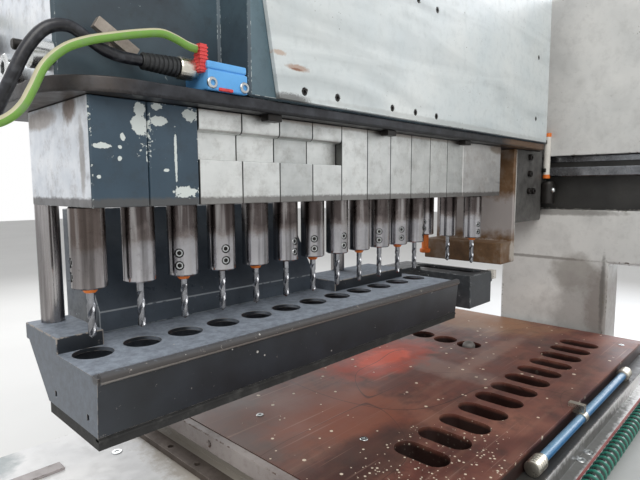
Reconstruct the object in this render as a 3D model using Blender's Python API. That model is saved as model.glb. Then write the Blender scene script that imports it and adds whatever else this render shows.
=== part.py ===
"""Drilling station of a CNC drilling line, in metres with +Z up.

A row of twelve boring spindles and a transverse row of three hang from one head over a slotted
table. Each spindle slides in its own gear, so that it turns with the train in the housing and can
be fed down alone. A dust hood on two guide rods rides below the head, the head rides on a dovetail
slide of a carriage, and the carriage runs along a rail on the upright at the right-hand end.

The origin is on the floor under the middle of the bed. Every piece hangs from one empty, the spindle
line: X counts from the first spindle of the long row, Y from that row's plane with the rear positive,
and Z from the floor.
"""

import math

import bmesh
import bpy
from mathutils import Vector

# Fits that many pieces share
GAP = 0.0003
OVERRUN = 0.002
SINK = 0.0015

# Bed
BED_DEPTH = 0.400
BED_TOP = 0.131
BED_CORNER = 0.032
BED_EDGE = 0.003
BED_LEFT = 0.070
BED_FRONT = 0.245
PANEL_MARGIN = 0.040
PANEL_RIB = 0.020
PANEL_RECESS = 0.004
PANEL_FOOT = 0.042
PANEL_EDGE = 0.022
LAND_HEIGHT = 0.0137

# Table with its slots, holes and edge strip
TABLE_LEFT = 0.097
TABLE_END_GAP = 0.010
TABLE_FRONT = -0.175
TABLE_REAR = 0.125
TABLE_THICKNESS = 0.014
TABLE_INSET = 0.003
SLOT_FIRST_X = 0.1796
SLOT_Y = -0.121
SLOT_WIDTH = 0.022
SLOT_LENGTH = 0.044
TABLE_HOLE_RADIUS = 0.0145
STRIP_WIDTH = 0.0067
STRIP_HOLE_RADIUS = 0.0025
STRIP_HOLE_SHARES = (0.12, 0.37, 0.63, 0.88)

# Spindles: pitch and rows
PITCH = 0.032
ROW_COUNT = 12
CROSS_COUNT = 3
CROSS_GAP = 0.086
CROSS_Y = -0.0245

# Spindle: shaft, chuck, collar and drill
SHAFT_RADIUS = 0.005
SHAFT_ABOVE_GEAR = 0.054
SHAFT_CHAMFER = 0.0006
CHUCK_RADIUS = 0.0103
CHUCK_LENGTH = 0.0494
CHUCK_CHAMFER = 0.0011
CHUCK_DROP = 0.0006
COLLAR_RADIUS = 0.0050
COLLAR_LENGTH = 0.0032
DRILL_RADIUS = 0.0028
DRILL_WEB_SHARE = 0.55
DRILL_LENGTH = 0.0305
SHANK_LENGTH = 0.0060
FLUTE_LEAD = 0.022
FLUTE_STEP = 0.0031
POINT_LENGTH = 0.0016
PLUG_RADIUS = 0.0042
PLUG_FLANGE_RADIUS = 0.0068
PLUG_LENGTH = 0.0230
PLUG_FLANGE_LENGTH = 0.0055

# Gear: tooth form on its pitch circle, and hub
GEAR_TEETH = 16
GEAR_PRESSURE_ANGLE = math.radians(20)
GEAR_TIP = 0.0176
GEAR_ROOT = 0.0135
GEAR_WIDTH = 0.010
HUB_RADIUS = 0.008
SHOULDER_RADIUS = 0.011
SHOULDER_HEIGHT = 0.0067
HUB_CLEARANCE = 0.0004
SHAFT_CLEARANCE = 0.0004

# Head: base plate, cylinder blocks, housing and cover
HEAD_CLEARANCE = 0.238
BASE_THICKNESS = 0.008
BASE_LEFT = -0.034
BASE_END_STEP = 0.003
BASE_CORNER = 0.038
BASE_SMALL_CORNER = 0.004
HEAD_FRONT = -0.060
HEAD_REAR = 0.095
BLOCK_FRONT = -0.0477
BLOCK_REAR = 0.042
BLOCK_HEIGHT = 0.0567
BLOCK_CORNER = 0.0008
BLOCK_BORE_RADIUS = 0.006
BLOCK_STEP_HEIGHT = 0.027
BLOCK_RAIL_HEIGHT = 0.0435
BLOCK_RECESS = 0.0065
RAIL_ROUNDING = 0.003
PLAIN_BLOCKS = 2
STEPPED_BLOCKS = 4
SEAM_WIDTH = 0.0006
SEAM_DEPTH = 0.0025
END_BLOCK_BEYOND_CROSS = 0.021
END_BLOCK_REAR = 0.058
END_BLOCK_HEIGHT = 0.0587
HOUSING_LEFT = -0.024
HOUSING_BEYOND_END_PLATE = 0.065
HOUSING_STEP_X = 0.077
HOUSING_STEP_Y = -0.030
HOUSING_WALL = 0.005
HOUSING_HEIGHT = 0.1947
HOUSING_EDGE = 0.0015
POCKET_CLEARANCE = 0.003
COVER_THICKNESS = 0.0035
COVER_LEFT = 0.098
COVER_LEFT_TOP = 0.0835
COVER_SLANT_HEIGHT = 0.081
COVER_END_MARGIN = 0.009
COVER_MARGIN = 0.0012
COVER_HOLE_RADIUS = 0.0029
COVER_HOLES = (
    (0.1204, 0.0084), (0.1533, 0.0084), (0.2198, 0.0084), (0.2532, 0.0084), (0.2872, 0.0084),
    (0.2551, 0.1009), (0.2855, 0.1000), (0.5210, 0.1010), (0.5190, 0.0280),
)
GLAND_LENGTH = 0.008
CABLE_GLAND_RADIUS = 0.0070
EARTH_GLAND_RADIUS = 0.0055

# Right-hand end of the head: end plate and slide bracket
END_FOOT_GAP = 0.011
END_FOOT_LENGTH = 0.030
END_PLATE_THICKNESS = 0.008
END_PLATE_FRONT = -0.047
END_PLATE_REAR = 0.060
END_PLATE_HEIGHT = 0.1147
END_FOOT_HEIGHT = 0.026
BRACKET_THICKNESS = 0.012
BRACKET_HEIGHT = 0.0917
BRACKET_RIB_INSIDE = 0.035
BRACKET_RIB_BEYOND = 0.010
BRACKET_RIB_HEIGHT = 0.042
RUNNER_SIDE = 0.011
RUNNER_HEIGHT = 0.0487

# Carriage with its dovetail slide and rail runner
CARRIAGE_GAP = 0.025
CARRIAGE_THICKNESS = 0.010
CARRIAGE_FRONT = -0.044
CARRIAGE_REAR = 0.060
CARRIAGE_BELOW = 0.091
CARRIAGE_ABOVE = 0.063
SLIDE_STEM_WIDTH = 0.010
SLIDE_HEAD_WIDTH = 0.020
SLIDE_Y = 0.013
SLIDE_STEM_DEPTH = 0.010
SLIDE_HEAD_DEPTH = 0.006
SLIDE_STOP = 0.005
SADDLE_DEPTH = 0.0175
SADDLE_WALL = 0.0107

# Upright with its recess, and the rail in it
UPRIGHT_BEHIND_CARRIAGE = 0.016
UPRIGHT_THICKNESS = 0.054
UPRIGHT_FRONT = -0.240
UPRIGHT_REAR = 0.120
COLUMN_FRONT = -0.130
COLUMN_REAR = 0.012
BEAM_HEIGHT = 0.0695
BEAM_BELOW_BASE = 0.147
RECESS_HEIGHT = 0.072
RECESS_DEPTH = 0.016
UPRIGHT_EDGE = 0.003
RAIL_HEIGHT = 0.012
RAIL_ABOVE_BEAM = 0.0445
RAIL_INSET = 0.005

# Dust hood under the long row
HOOD_DROP = 0.0095
HOOD_LEFT = -0.017
HOOD_BEYOND_ROW = 0.016
HOOD_FRONT = -0.046
HOOD_REAR = 0.063
HOOD_HEIGHT = 0.034
HOOD_FRONT_LEAN = 0.003
HOOD_REAR_LEAN = 0.033
HOOD_WALL = 0.0025
HOOD_HOLE_RADIUS = 0.012
LIP_RADIUS = 0.0032
SEAL_HEIGHT = 0.007
SEAL_THICKNESS = 0.0035
FOOT_PAD_HEIGHT = 0.010
LEFT_PAD_RIGHT = 0.012
LEFT_PAD_FRONT = 0.012
PAD_REAR = 0.068
RIGHT_PAD_LEFT = 0.237
RIGHT_PAD_RIGHT = 0.350
RIGHT_PAD_FRONT = 0.014

# Hood under the transverse row, with the link to the long one
CROSS_HOOD_BEFORE = 0.034
CROSS_HOOD_BEYOND = 0.018
CROSS_HOOD_FRONT = -0.042
CROSS_HOOD_REAR = 0.080
CROSS_HOOD_HEIGHT = 0.038
LINK_OVERLAP = 0.016
LINK_FRONT = 0.028
LINK_REAR = 0.060
LINK_THICKNESS = 0.004
LINK_FOOT = 0.006

# Guide rods
ROD_RADIUS = 0.00735
ROD_CLEARANCE = 0.0004
ROD_Y = 0.058
ROD_XS = (-0.0027, 0.290)
ROD_ABOVE_BASE = 0.007
ROD_TRAVEL = 0.030
ROD_CHAMFER = 0.001

# Extraction duct behind the spindles
DUCT_LEFT = 0.020
DUCT_RIGHT = 0.232
DUCT_FRONT = 0.037
DUCT_REAR = 0.095
DUCT_SILL = 0.015
DUCT_RIDGE_Y = 0.080
DUCT_HEIGHT = 0.085
DUCT_WALL = 0.0025
DUCT_MOUTH_FRONT = 0.042
DUCT_MOUTH_REAR = 0.058
DUCT_MOUTH_MARGIN = 0.010
SPIGOT_X = 0.126
SPIGOT_HEIGHT = 0.045
SPIGOT_RADIUS = 0.026
SPIGOT_LENGTH = 0.022

# Sensor on the base plate, its plug and its leads
SENSOR_LEFT = 0.046
SENSOR_RIGHT = 0.074
SENSOR_FRONT = -0.062
SENSOR_REAR = -0.038
SENSOR_HEIGHT = 0.0162
SENSOR_EDGE = 0.0012
LUG_LEFT = 0.0468
LUG_WIDTH = 0.008
LUG_FRONT = -0.060
LUG_HEIGHT = 0.0085
PLUG_Y = -0.050
PLUG_ABOVE_BASE = 0.012
NUT_RADIUS = 0.0062
NUT_LENGTH = 0.011
BOOT_RADIUS = 0.0052
BOOT_GROOVE_RADIUS = 0.0042
BOOT_LENGTH = 0.0225
BOOT_RIBS = 5
BOOT_RIB_SHARES = (0.5, 0.6, 0.9)
CABLE_DIAMETER = 0.006
EARTH_DIAMETER = 0.0045
LEAD_STEP_SHARE = 2.5

# Air tube and ribbed conduit along the front of the table
TUBE_LEFT_MARGIN = 0.130
TUBE_RIGHT_MARGIN = 0.106
TUBE_RADIUS = 0.00375
TUBE_FITTING_RADIUS = 0.006
TUBE_FITTING_LENGTH = 0.018
TUBE_CLIP_PLACE = 0.112
TUBE_CLIP_RADIUS = 0.0047
TUBE_CLIP_LENGTH = 0.008
TUBE_Y = -0.182
TUBE_LAND_FRONT = -0.190
HOSE_LEFT_MARGIN = 0.093
HOSE_RIGHT_MARGIN = 0.006
HOSE_RADIUS = 0.0075
HOSE_GROOVE_RADIUS = 0.0062
HOSE_PITCH = 0.0096
HOSE_Y = -0.2065
HOSE_END_RADIUS = 0.0092
HOSE_END_LENGTH = 0.016

# Numbers of facets
BORE_SIDES = 12
ROUND_SIDES = 16
ROD_SIDES = 20
FLUTE_SIDES = 8
SMALL_SIDES = 8
CORNER_STEPS = 6

# Places along the rows that follow from the sizes above
ROW_END = (ROW_COUNT - 1) * PITCH
CROSS_X = ROW_END + CROSS_GAP
HOOD_RIGHT = ROW_END + HOOD_BEYOND_ROW
CROSS_HOOD_LEFT = CROSS_X - CROSS_HOOD_BEFORE
CROSS_HOOD_RIGHT = CROSS_X + CROSS_HOOD_BEYOND
LINK_LEFT = HOOD_RIGHT - LINK_OVERLAP
END_BLOCK_RIGHT = CROSS_X + END_BLOCK_BEYOND_CROSS
END_FOOT_LEFT = END_BLOCK_RIGHT + END_FOOT_GAP
END_PLATE_LEFT = END_FOOT_LEFT + END_FOOT_LENGTH
HOUSING_RIGHT = END_PLATE_LEFT + HOUSING_BEYOND_END_PLATE
COVER_RIGHT = HOUSING_RIGHT - COVER_END_MARGIN
BASE_RIGHT = HOUSING_RIGHT - BASE_END_STEP
RUNNER_LEFT = BASE_RIGHT
BRACKET_RIB_LEFT = HOUSING_RIGHT - BRACKET_RIB_INSIDE
BRACKET_RIB_RIGHT = HOUSING_RIGHT + BRACKET_RIB_BEYOND
CARRIAGE_LEFT = HOUSING_RIGHT + CARRIAGE_GAP
UPRIGHT_LEFT = CARRIAGE_LEFT + UPRIGHT_BEHIND_CARRIAGE
UPRIGHT_RIGHT = UPRIGHT_LEFT + UPRIGHT_THICKNESS
BED_LENGTH = BED_LEFT + UPRIGHT_RIGHT
TABLE_RIGHT = UPRIGHT_LEFT - TABLE_END_GAP
TUBE_LEFT = TABLE_LEFT + TUBE_LEFT_MARGIN
TUBE_RIGHT = TABLE_RIGHT - TUBE_RIGHT_MARGIN
TUBE_CLIP_X = TUBE_LEFT + TUBE_CLIP_PLACE
HOSE_LEFT = TABLE_LEFT + HOSE_LEFT_MARGIN
HOSE_RIGHT = TABLE_RIGHT - HOSE_RIGHT_MARGIN

# Heights that follow from the sizes above
LAND_TOP = BED_TOP + LAND_HEIGHT
TABLE_BOTTOM = LAND_TOP + GAP
TABLE_TOP = TABLE_BOTTOM + TABLE_THICKNESS
BASE_BOTTOM = TABLE_TOP + HEAD_CLEARANCE
BASE_TOP = BASE_BOTTOM + BASE_THICKNESS
BLOCK_TOP = BASE_BOTTOM - GAP
BLOCK_BOTTOM = BLOCK_TOP - BLOCK_HEIGHT
CHUCK_TOP = BLOCK_BOTTOM - CHUCK_DROP
CHUCK_BOTTOM = CHUCK_TOP - CHUCK_LENGTH
DRILL_TIP = CHUCK_BOTTOM - DRILL_LENGTH
HOOD_TOP = DRILL_TIP - HOOD_DROP
HOOD_BOTTOM = HOOD_TOP - HOOD_HEIGHT
HOUSING_BOTTOM = BASE_TOP + GAP
HOUSING_TOP = HOUSING_BOTTOM + HOUSING_HEIGHT
GEAR_BOTTOM = BASE_TOP + GAP + SHOULDER_HEIGHT
GEAR_TOP = GEAR_BOTTOM + GEAR_WIDTH
SHAFT_TOP = GEAR_TOP + SHAFT_ABOVE_GEAR
ROD_TOP = BASE_TOP + ROD_ABOVE_BASE
BEAM_BOTTOM = BASE_BOTTOM - BEAM_BELOW_BASE
RECESS_BOTTOM = BEAM_BOTTOM + BEAM_HEIGHT
RAIL_BOTTOM = BEAM_BOTTOM + BEAM_HEIGHT + RAIL_ABOVE_BEAM

# Routes of the two leads, from the sensor round the left-hand end and back into the housing
CABLE_ROUTE = (
    (0.0118, -0.0500, 0.4170), (0.0056, -0.0500, 0.4170), (-0.0008, -0.0500, 0.4173),
    (-0.0075, -0.0500, 0.4190), (-0.0150, -0.0500, 0.4228), (-0.0240, -0.0500, 0.4268),
    (-0.0335, -0.0490, 0.4240), (-0.0415, -0.0470, 0.4140), (-0.0480, -0.0440, 0.3995),
    (-0.0535, -0.0380, 0.3850), (-0.0565, -0.0270, 0.3750), (-0.0575, -0.0120, 0.3715),
    (-0.0575, 0.0060, 0.3760), (-0.0578, 0.0240, 0.3880), (-0.0580, 0.0400, 0.4050),
    (-0.0565, 0.0540, 0.4215), (-0.0530, 0.0635, 0.4340), (-0.0470, 0.0668, 0.4392),
    (-0.0400, 0.0670, 0.4400), (-0.0325, 0.0670, 0.4400),
)
EARTH_ROUTE = (
    (0.0462, -0.0560, 0.4275), (0.0410, -0.0560, 0.4277), (0.0355, -0.0559, 0.4288),
    (0.0290, -0.0557, 0.4308), (0.0210, -0.0555, 0.4318), (0.0090, -0.0555, 0.4290),
    (-0.0060, -0.0560, 0.4243), (-0.0180, -0.0565, 0.4200), (-0.0285, -0.0560, 0.4145),
    (-0.0370, -0.0550, 0.4058), (-0.0425, -0.0550, 0.3950), (-0.0470, -0.0540, 0.3865),
    (-0.0530, -0.0515, 0.3805), (-0.0595, -0.0450, 0.3780), (-0.0635, -0.0330, 0.3795),
    (-0.0645, -0.0160, 0.3845), (-0.0645, 0.0020, 0.3960), (-0.0640, 0.0200, 0.4120),
    (-0.0620, 0.0390, 0.4310), (-0.0585, 0.0570, 0.4465), (-0.0530, 0.0710, 0.4550),
    (-0.0460, 0.0785, 0.4577), (-0.0395, 0.0800, 0.4580), (-0.0325, 0.0800, 0.4580),
)
CABLE_GLAND = (0.0670, 0.4400)
EARTH_GLAND = (0.0800, 0.4580)


def clear_scene():
    for obj in list(bpy.data.objects):
        bpy.data.objects.remove(obj, do_unlink=True)


def finish_of(name, colour, roughness, metallic=0.0):
    """A Principled material in one plain finish."""
    material = bpy.data.materials.new(name)
    material.use_nodes = True
    shader = material.node_tree.nodes["Principled BSDF"]
    shader.inputs["Base Color"].default_value = (*colour, 1.0)
    shader.inputs["Roughness"].default_value = roughness
    shader.inputs["Metallic"].default_value = metallic
    return material


def spindle_line():
    """The empty on the first spindle's axis at floor level, from which every piece hangs."""
    line = bpy.data.objects.new("spindle_line", None)
    bpy.context.scene.collection.objects.link(line)
    line.location = (BED_LEFT - BED_LENGTH / 2, BED_FRONT - BED_DEPTH / 2, 0)
    return line


def add_object(name, data, material, at=(0, 0)):
    """Links an object under the spindle line, with its origin above the point `at`."""
    obj = bpy.data.objects.new(name, data)
    bpy.context.scene.collection.objects.link(obj)
    obj.parent = bpy.data.objects["spindle_line"]
    obj.location = (*at, 0)
    if material and not data.materials:
        data.materials.append(material)
    return obj


def mesh_of(name, bm):
    """Turns a bmesh into a mesh with outward faces, smooth but for its sharp edges."""
    bmesh.ops.recalc_face_normals(bm, faces=bm.faces)
    mesh = bpy.data.meshes.new(name)
    bm.to_mesh(mesh)
    bm.free()
    mesh.shade_smooth()
    mesh.set_sharp_from_angle(angle=math.radians(35))
    return mesh


def circle(x, y, radius, sides):
    angles = [2 * math.pi * k / sides for k in range(sides)]
    return [(x + radius * math.cos(a), y + radius * math.sin(a)) for a in angles]


def arc(x, y, radius, start, end, steps):
    """Points of an arc, with angles in degrees."""
    angles = [math.radians(start + (end - start) * k / steps) for k in range(steps + 1)]
    return [(x + radius * math.cos(a), y + radius * math.sin(a)) for a in angles]


def rectangle(x0, y0, x1, y1, radii=(0, 0, 0, 0), steps=CORNER_STEPS):
    """An outline from the corner (x0, y0) round by (x1, y0), each corner square or rounded."""
    corners = ((x0, y0, 1, 1, 180), (x1, y0, -1, 1, 270), (x1, y1, -1, -1, 0), (x0, y1, 1, -1, 90))
    outline = []
    for (x, y, inward_x, inward_y, start), radius in zip(corners, radii):
        if radius:
            centre = (x + inward_x * radius, y + inward_y * radius)
            outline += arc(*centre, radius, start, start + 90, steps)
        else:
            outline.append((x, y))
    return outline


def slot(x, y, width, length):
    """A long hole with round ends, along Y."""
    reach = (length - width) / 2
    ends = ((y + reach, 0), (y - reach, 180))
    return [p for end, start in ends for p in arc(x, end, width / 2, start, start + 180, SMALL_SIDES)]


def on_axis(axis, u, v, w):
    """The point whose outline coordinates are u, v and whose place along the axis is w."""
    return {"X": (w, u, v), "Y": (u, w, v), "Z": (u, v, w)}[axis]


def add_loop(bm, points):
    verts = [bm.verts.new(p) for p in points]
    for k in range(len(verts)):
        bm.edges.new((verts[k - 1], verts[k]))
    return verts


def add_wall(bm, low, high):
    for k in range(len(low)):
        bm.faces.new((low[k - 1], low[k], high[k], high[k - 1]))


def add_cap(bm, *loops):
    """Fills the flat area between the first loop and the ones inside it."""
    edges = [bm.edges.get((loop[k - 1], loop[k])) for loop in loops for k in range(len(loop))]
    bmesh.ops.triangle_fill(bm, use_beauty=True, use_dissolve=False, edges=edges)


def add_slab(bm, outline, start, end, axis="Z", holes=()):
    """An outline extruded along an axis, with through holes."""
    bottoms, tops = [], []
    for points in (outline, *holes):
        bottoms.append(add_loop(bm, [on_axis(axis, u, v, start) for u, v in points]))
        tops.append(add_loop(bm, [on_axis(axis, u, v, end) for u, v in points]))
        add_wall(bm, bottoms[-1], tops[-1])
    add_cap(bm, *bottoms)
    add_cap(bm, *tops)


def add_box(bm, x, y, z):
    """A block between two values on each axis."""
    add_slab(bm, rectangle(x[0], y[0], x[1], y[1]), *z)


def add_turned(bm, profile, sides, axis="Z", centre=(0, 0)):
    """A closed round piece: (radius, place) rings in order along the axis."""
    loops = []
    for radius, place in profile:
        points = [on_axis(axis, u, v, place) for u, v in circle(*centre, radius, sides)]
        loops.append(add_loop(bm, points))
    for low, high in zip(loops, loops[1:]):
        add_wall(bm, low, high)
    add_cap(bm, loops[0])
    add_cap(bm, loops[-1])


def shaped(name, material, fill, at=(0, 0)):
    """An object whose mesh is drawn by the function `fill`."""
    bm = bmesh.new()
    fill(bm)
    return add_object(name, mesh_of(name, bm), material, at)


def soften(obj, width):
    """Breaks the sharp edges."""
    bevel = obj.modifiers.new("Edges", "BEVEL")
    bevel.width = width
    bevel.segments = 1
    bevel.limit_method = "ANGLE"
    bevel.angle_limit = math.radians(50)


def combine(obj, operation, name, fill):
    """Joins or cuts with a helper shape, which stays out of renders."""
    helper = shaped(f"{obj.name}_{name}", None, fill)
    helper.hide_render = True
    helper.display_type = "WIRE"
    boolean = obj.modifiers.new(name, "BOOLEAN")
    boolean.operation = operation
    boolean.object = helper


def row_places():
    """The axes of all fifteen spindles: the long row first, then the transverse one."""
    row = [(k * PITCH, 0) for k in range(ROW_COUNT)]
    return row + [(CROSS_X, CROSS_Y + k * PITCH) for k in range(CROSS_COUNT)]


def add_spindle(bm, kind):
    """Shaft, chuck and tool in one turned piece; the kind is collared, plain or plug."""
    def ring(radius, z, sides=ROUND_SIDES, turn=0.0):
        angles = [turn + 2 * math.pi * k / sides for k in range(sides)]
        return add_loop(bm, [(radius * math.cos(a), radius * math.sin(a), z) for a in angles])

    steps = [
        (SHAFT_RADIUS - SHAFT_CHAMFER, SHAFT_TOP),
        (SHAFT_RADIUS, SHAFT_TOP - SHAFT_CHAMFER),
        (SHAFT_RADIUS, CHUCK_TOP),
        (CHUCK_RADIUS, CHUCK_TOP),
        (CHUCK_RADIUS, CHUCK_BOTTOM + CHUCK_CHAMFER),
        (CHUCK_RADIUS - CHUCK_CHAMFER, CHUCK_BOTTOM),
    ]
    tool_top = CHUCK_BOTTOM
    if kind != "plain":
        tool_top = CHUCK_BOTTOM - COLLAR_LENGTH
        steps += [(COLLAR_RADIUS, CHUCK_BOTTOM), (COLLAR_RADIUS, tool_top)]
    loops = [ring(*step) for step in steps]
    add_cap(bm, loops[0])
    for low, high in zip(loops, loops[1:]):
        add_wall(bm, low, high)
    if kind == "plug":
        plug_bottom = tool_top - PLUG_LENGTH + PLUG_FLANGE_LENGTH
        flange_bottom = plug_bottom - PLUG_FLANGE_LENGTH
        rings = [(PLUG_RADIUS, tool_top), (PLUG_RADIUS, plug_bottom)]
        rings += [(PLUG_FLANGE_RADIUS, plug_bottom), (PLUG_FLANGE_RADIUS, flange_bottom)]
        plug = [loops[-1]] + [ring(*step) for step in rings]
        for low, high in zip(plug, plug[1:]):
            add_wall(bm, low, high)
        add_cap(bm, plug[-1])
        return
    add_drill(bm, loops[-1], tool_top)


def add_drill(bm, mouth, top):
    """A two-flute drill: a section with two hollows that turns as it goes down."""
    flute_top = CHUCK_BOTTOM - SHANK_LENGTH
    flute_bottom = DRILL_TIP + POINT_LENGTH
    count = round((flute_top - flute_bottom) / FLUTE_STEP)

    def section(z, turn=0.0, hollow_share=1.0):
        points = []
        for k in range(FLUTE_SIDES):
            angle = turn + 2 * math.pi * k / FLUTE_SIDES
            hollow = k % (FLUTE_SIDES // 2) == FLUTE_SIDES // 4
            radius = DRILL_RADIUS * (hollow_share if hollow else 1)
            points.append((radius * math.cos(angle), radius * math.sin(angle), z))
        return add_loop(bm, points)

    loops = [section(top), section(flute_top)]
    for k in range(1, count + 1):
        z = flute_top + (flute_bottom - flute_top) * k / count
        loops.append(section(z, 2 * math.pi * (flute_top - z) / FLUTE_LEAD, DRILL_WEB_SHARE))
    add_cap(bm, mouth, loops[0])
    for low, high in zip(loops, loops[1:]):
        add_wall(bm, low, high)
    tip = bm.verts.new((0, 0, DRILL_TIP))
    for k in range(FLUTE_SIDES):
        bm.faces.new((loops[-1][k - 1], loops[-1][k], tip))


def make_spindles(steel):
    """Fifteen spindles; every second one of a row carries an orange collar, the last one a plug."""
    kinds = ["collared" if k % 2 == 0 else "plain" for k in range(ROW_COUNT + CROSS_COUNT)]
    kinds[-1] = "plug"
    meshes = {}
    for kind in set(kinds):
        bm = bmesh.new()
        add_spindle(bm, kind)
        meshes[kind] = mesh_of(f"spindle_{kind}", bm)
    for number, (place, kind) in enumerate(zip(row_places(), kinds), start=1):
        add_object(f"spindle_{number:02d}", meshes[kind], steel, place)


def tooth_outline(turned_half_tooth):
    """Sixteen teeth as an outline, whose flanks are chords of the involute from root to tip."""
    pitch_radius = PITCH / 2
    base_radius = pitch_radius * math.cos(GEAR_PRESSURE_ANGLE)

    def involute(radius):
        angle = math.acos(min(1.0, base_radius / radius))
        return math.tan(angle) - angle

    at_base = math.pi / (2 * GEAR_TEETH) + involute(pitch_radius)
    at_tip = at_base - involute(GEAR_TIP)
    step = 2 * math.pi / GEAR_TEETH
    outline = []
    for k in range(GEAR_TEETH):
        middle = step * (k + (0.5 if turned_half_tooth else 0))
        corners = ((GEAR_ROOT, -at_base), (GEAR_TIP, -at_tip), (GEAR_TIP, at_tip), (GEAR_ROOT, at_base))
        for radius, angle in corners:
            outline.append((radius * math.cos(middle + angle), radius * math.sin(middle + angle)))
    return outline


def add_gear(bm, turned_half_tooth):
    """A spur gear on a shouldered hub, with a through bore for the sliding shaft."""
    def ring(radius, z):
        return add_loop(bm, [(x, y, z) for x, y in circle(0, 0, radius, BORE_SIDES)])

    teeth = tooth_outline(turned_half_tooth)
    low_teeth = add_loop(bm, [(x, y, GEAR_BOTTOM) for x, y in teeth])
    high_teeth = add_loop(bm, [(x, y, GEAR_TOP) for x, y in teeth])
    shoulder_top = ring(SHOULDER_RADIUS, GEAR_BOTTOM)
    shoulder = ring(SHOULDER_RADIUS, BASE_TOP + GAP)
    hub_top = ring(HUB_RADIUS, BASE_TOP + GAP)
    hub = ring(HUB_RADIUS, BASE_BOTTOM + GAP)
    bore_low = ring(SHAFT_RADIUS + SHAFT_CLEARANCE, BASE_BOTTOM + GAP)
    bore_high = ring(SHAFT_RADIUS + SHAFT_CLEARANCE, GEAR_TOP)
    add_wall(bm, low_teeth, high_teeth)
    add_cap(bm, low_teeth, shoulder_top)
    add_wall(bm, shoulder_top, shoulder)
    add_wall(bm, shoulder, hub_top)
    add_wall(bm, hub_top, hub)
    add_wall(bm, hub, bore_low)
    add_wall(bm, bore_low, bore_high)
    add_cap(bm, high_teeth, bore_high)


def make_gears(steel):
    """One gear for each spindle; neighbours are half a tooth apart, so that they mesh."""
    meshes = []
    for turned_half_tooth in (False, True):
        bm = bmesh.new()
        add_gear(bm, turned_half_tooth)
        meshes.append(mesh_of(f"gear_{len(meshes)}", bm))
    for number, place in enumerate(row_places(), start=1):
        along = number - 1 if number <= ROW_COUNT else number - 1 - ROW_COUNT
        add_object(f"gear_{number:02d}", meshes[(along + (number > ROW_COUNT)) % 2], steel, place)


def block_bore(x, y=0.0):
    return circle(x, y, BLOCK_BORE_RADIUS, BORE_SIDES)


def make_plain_blocks(paint):
    """The two painted cylinder blocks at the left-hand end."""
    for k in range(PLAIN_BLOCKS):
        left, right = k * PITCH - PITCH / 2 + GAP / 2, k * PITCH + PITCH / 2 - GAP / 2
        outline = rectangle(left, BLOCK_FRONT, right, BLOCK_REAR, (BLOCK_CORNER,) * 4, steps=1)

        def fill(bm, outline=outline, x=k * PITCH):
            add_slab(bm, outline, BLOCK_BOTTOM, BLOCK_TOP, holes=[block_bore(x)])

        shaped(f"cylinder_block_{k + 1:02d}", paint, fill)


def make_stepped_blocks(aluminium):
    """Four blocks with a rail along the top of the front and a recessed band below it."""
    step_z, rail_z = BLOCK_BOTTOM + BLOCK_STEP_HEIGHT, BLOCK_BOTTOM + BLOCK_RAIL_HEIGHT
    back = BLOCK_FRONT + BLOCK_RECESS
    profile = [(BLOCK_FRONT, BLOCK_BOTTOM), (BLOCK_REAR, BLOCK_BOTTOM), (BLOCK_REAR, BLOCK_TOP)]
    profile += [(BLOCK_FRONT, BLOCK_TOP)]
    profile += arc(BLOCK_FRONT + RAIL_ROUNDING, rail_z + RAIL_ROUNDING, RAIL_ROUNDING, 180, 270, 3)
    profile += [(back, rail_z), (back, step_z), (BLOCK_FRONT, step_z)]
    for k in range(PLAIN_BLOCKS, PLAIN_BLOCKS + STEPPED_BLOCKS):
        left, right = k * PITCH - PITCH / 2 + GAP / 2, k * PITCH + PITCH / 2 - GAP / 2
        block = shaped(
            f"cylinder_block_{k + 1:02d}", aluminium,
            lambda bm, left=left, right=right: add_slab(bm, profile, left, right, "X"),
        )
        combine(
            block, "DIFFERENCE", "bore",
            lambda bm, x=k * PITCH: add_slab(
                bm, block_bore(x), BLOCK_BOTTOM - OVERRUN, BLOCK_TOP + OVERRUN),
        )


def make_cylinder_bank(aluminium):
    """The six full-height blocks, bolted up into one bank with a seam between neighbours."""
    first = PLAIN_BLOCKS + STEPPED_BLOCKS
    left = first * PITCH - PITCH / 2 + GAP / 2
    right = ROW_COUNT * PITCH - PITCH / 2 - GAP / 2
    seams = [k * PITCH - PITCH / 2 for k in range(first + 1, ROW_COUNT)]

    def seam(x, y, inward, direction):
        half = SEAM_WIDTH / 2 * direction
        return [(x - half, y), (x - half, y + inward), (x + half, y + inward), (x + half, y)]

    front = [(left, BLOCK_FRONT)]
    for x in seams:
        front += seam(x, BLOCK_FRONT, SEAM_DEPTH, 1)
    front.append((right, BLOCK_FRONT))
    rear = [(right, BLOCK_REAR)]
    for x in reversed(seams):
        rear += seam(x, BLOCK_REAR, -SEAM_DEPTH, -1)
    rear.append((left, BLOCK_REAR))
    bores = [block_bore(k * PITCH) for k in range(first, ROW_COUNT)]
    shaped(
        "cylinder_bank", aluminium,
        lambda bm: add_slab(bm, front + rear, BLOCK_BOTTOM, BLOCK_TOP, holes=bores),
    )


def make_end_block(aluminium):
    """The block at the right-hand end, which carries the transverse row."""
    left = ROW_COUNT * PITCH - PITCH / 2 + GAP / 2
    outline = rectangle(left, BLOCK_FRONT, END_BLOCK_RIGHT, END_BLOCK_REAR, (BLOCK_CORNER,) * 4, steps=1)
    bores = [block_bore(*place) for place in row_places()[ROW_COUNT:]]
    shaped(
        "end_block", aluminium,
        lambda bm: add_slab(bm, outline, BLOCK_TOP - END_BLOCK_HEIGHT + OVERRUN, BLOCK_TOP, holes=bores),
    )


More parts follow.
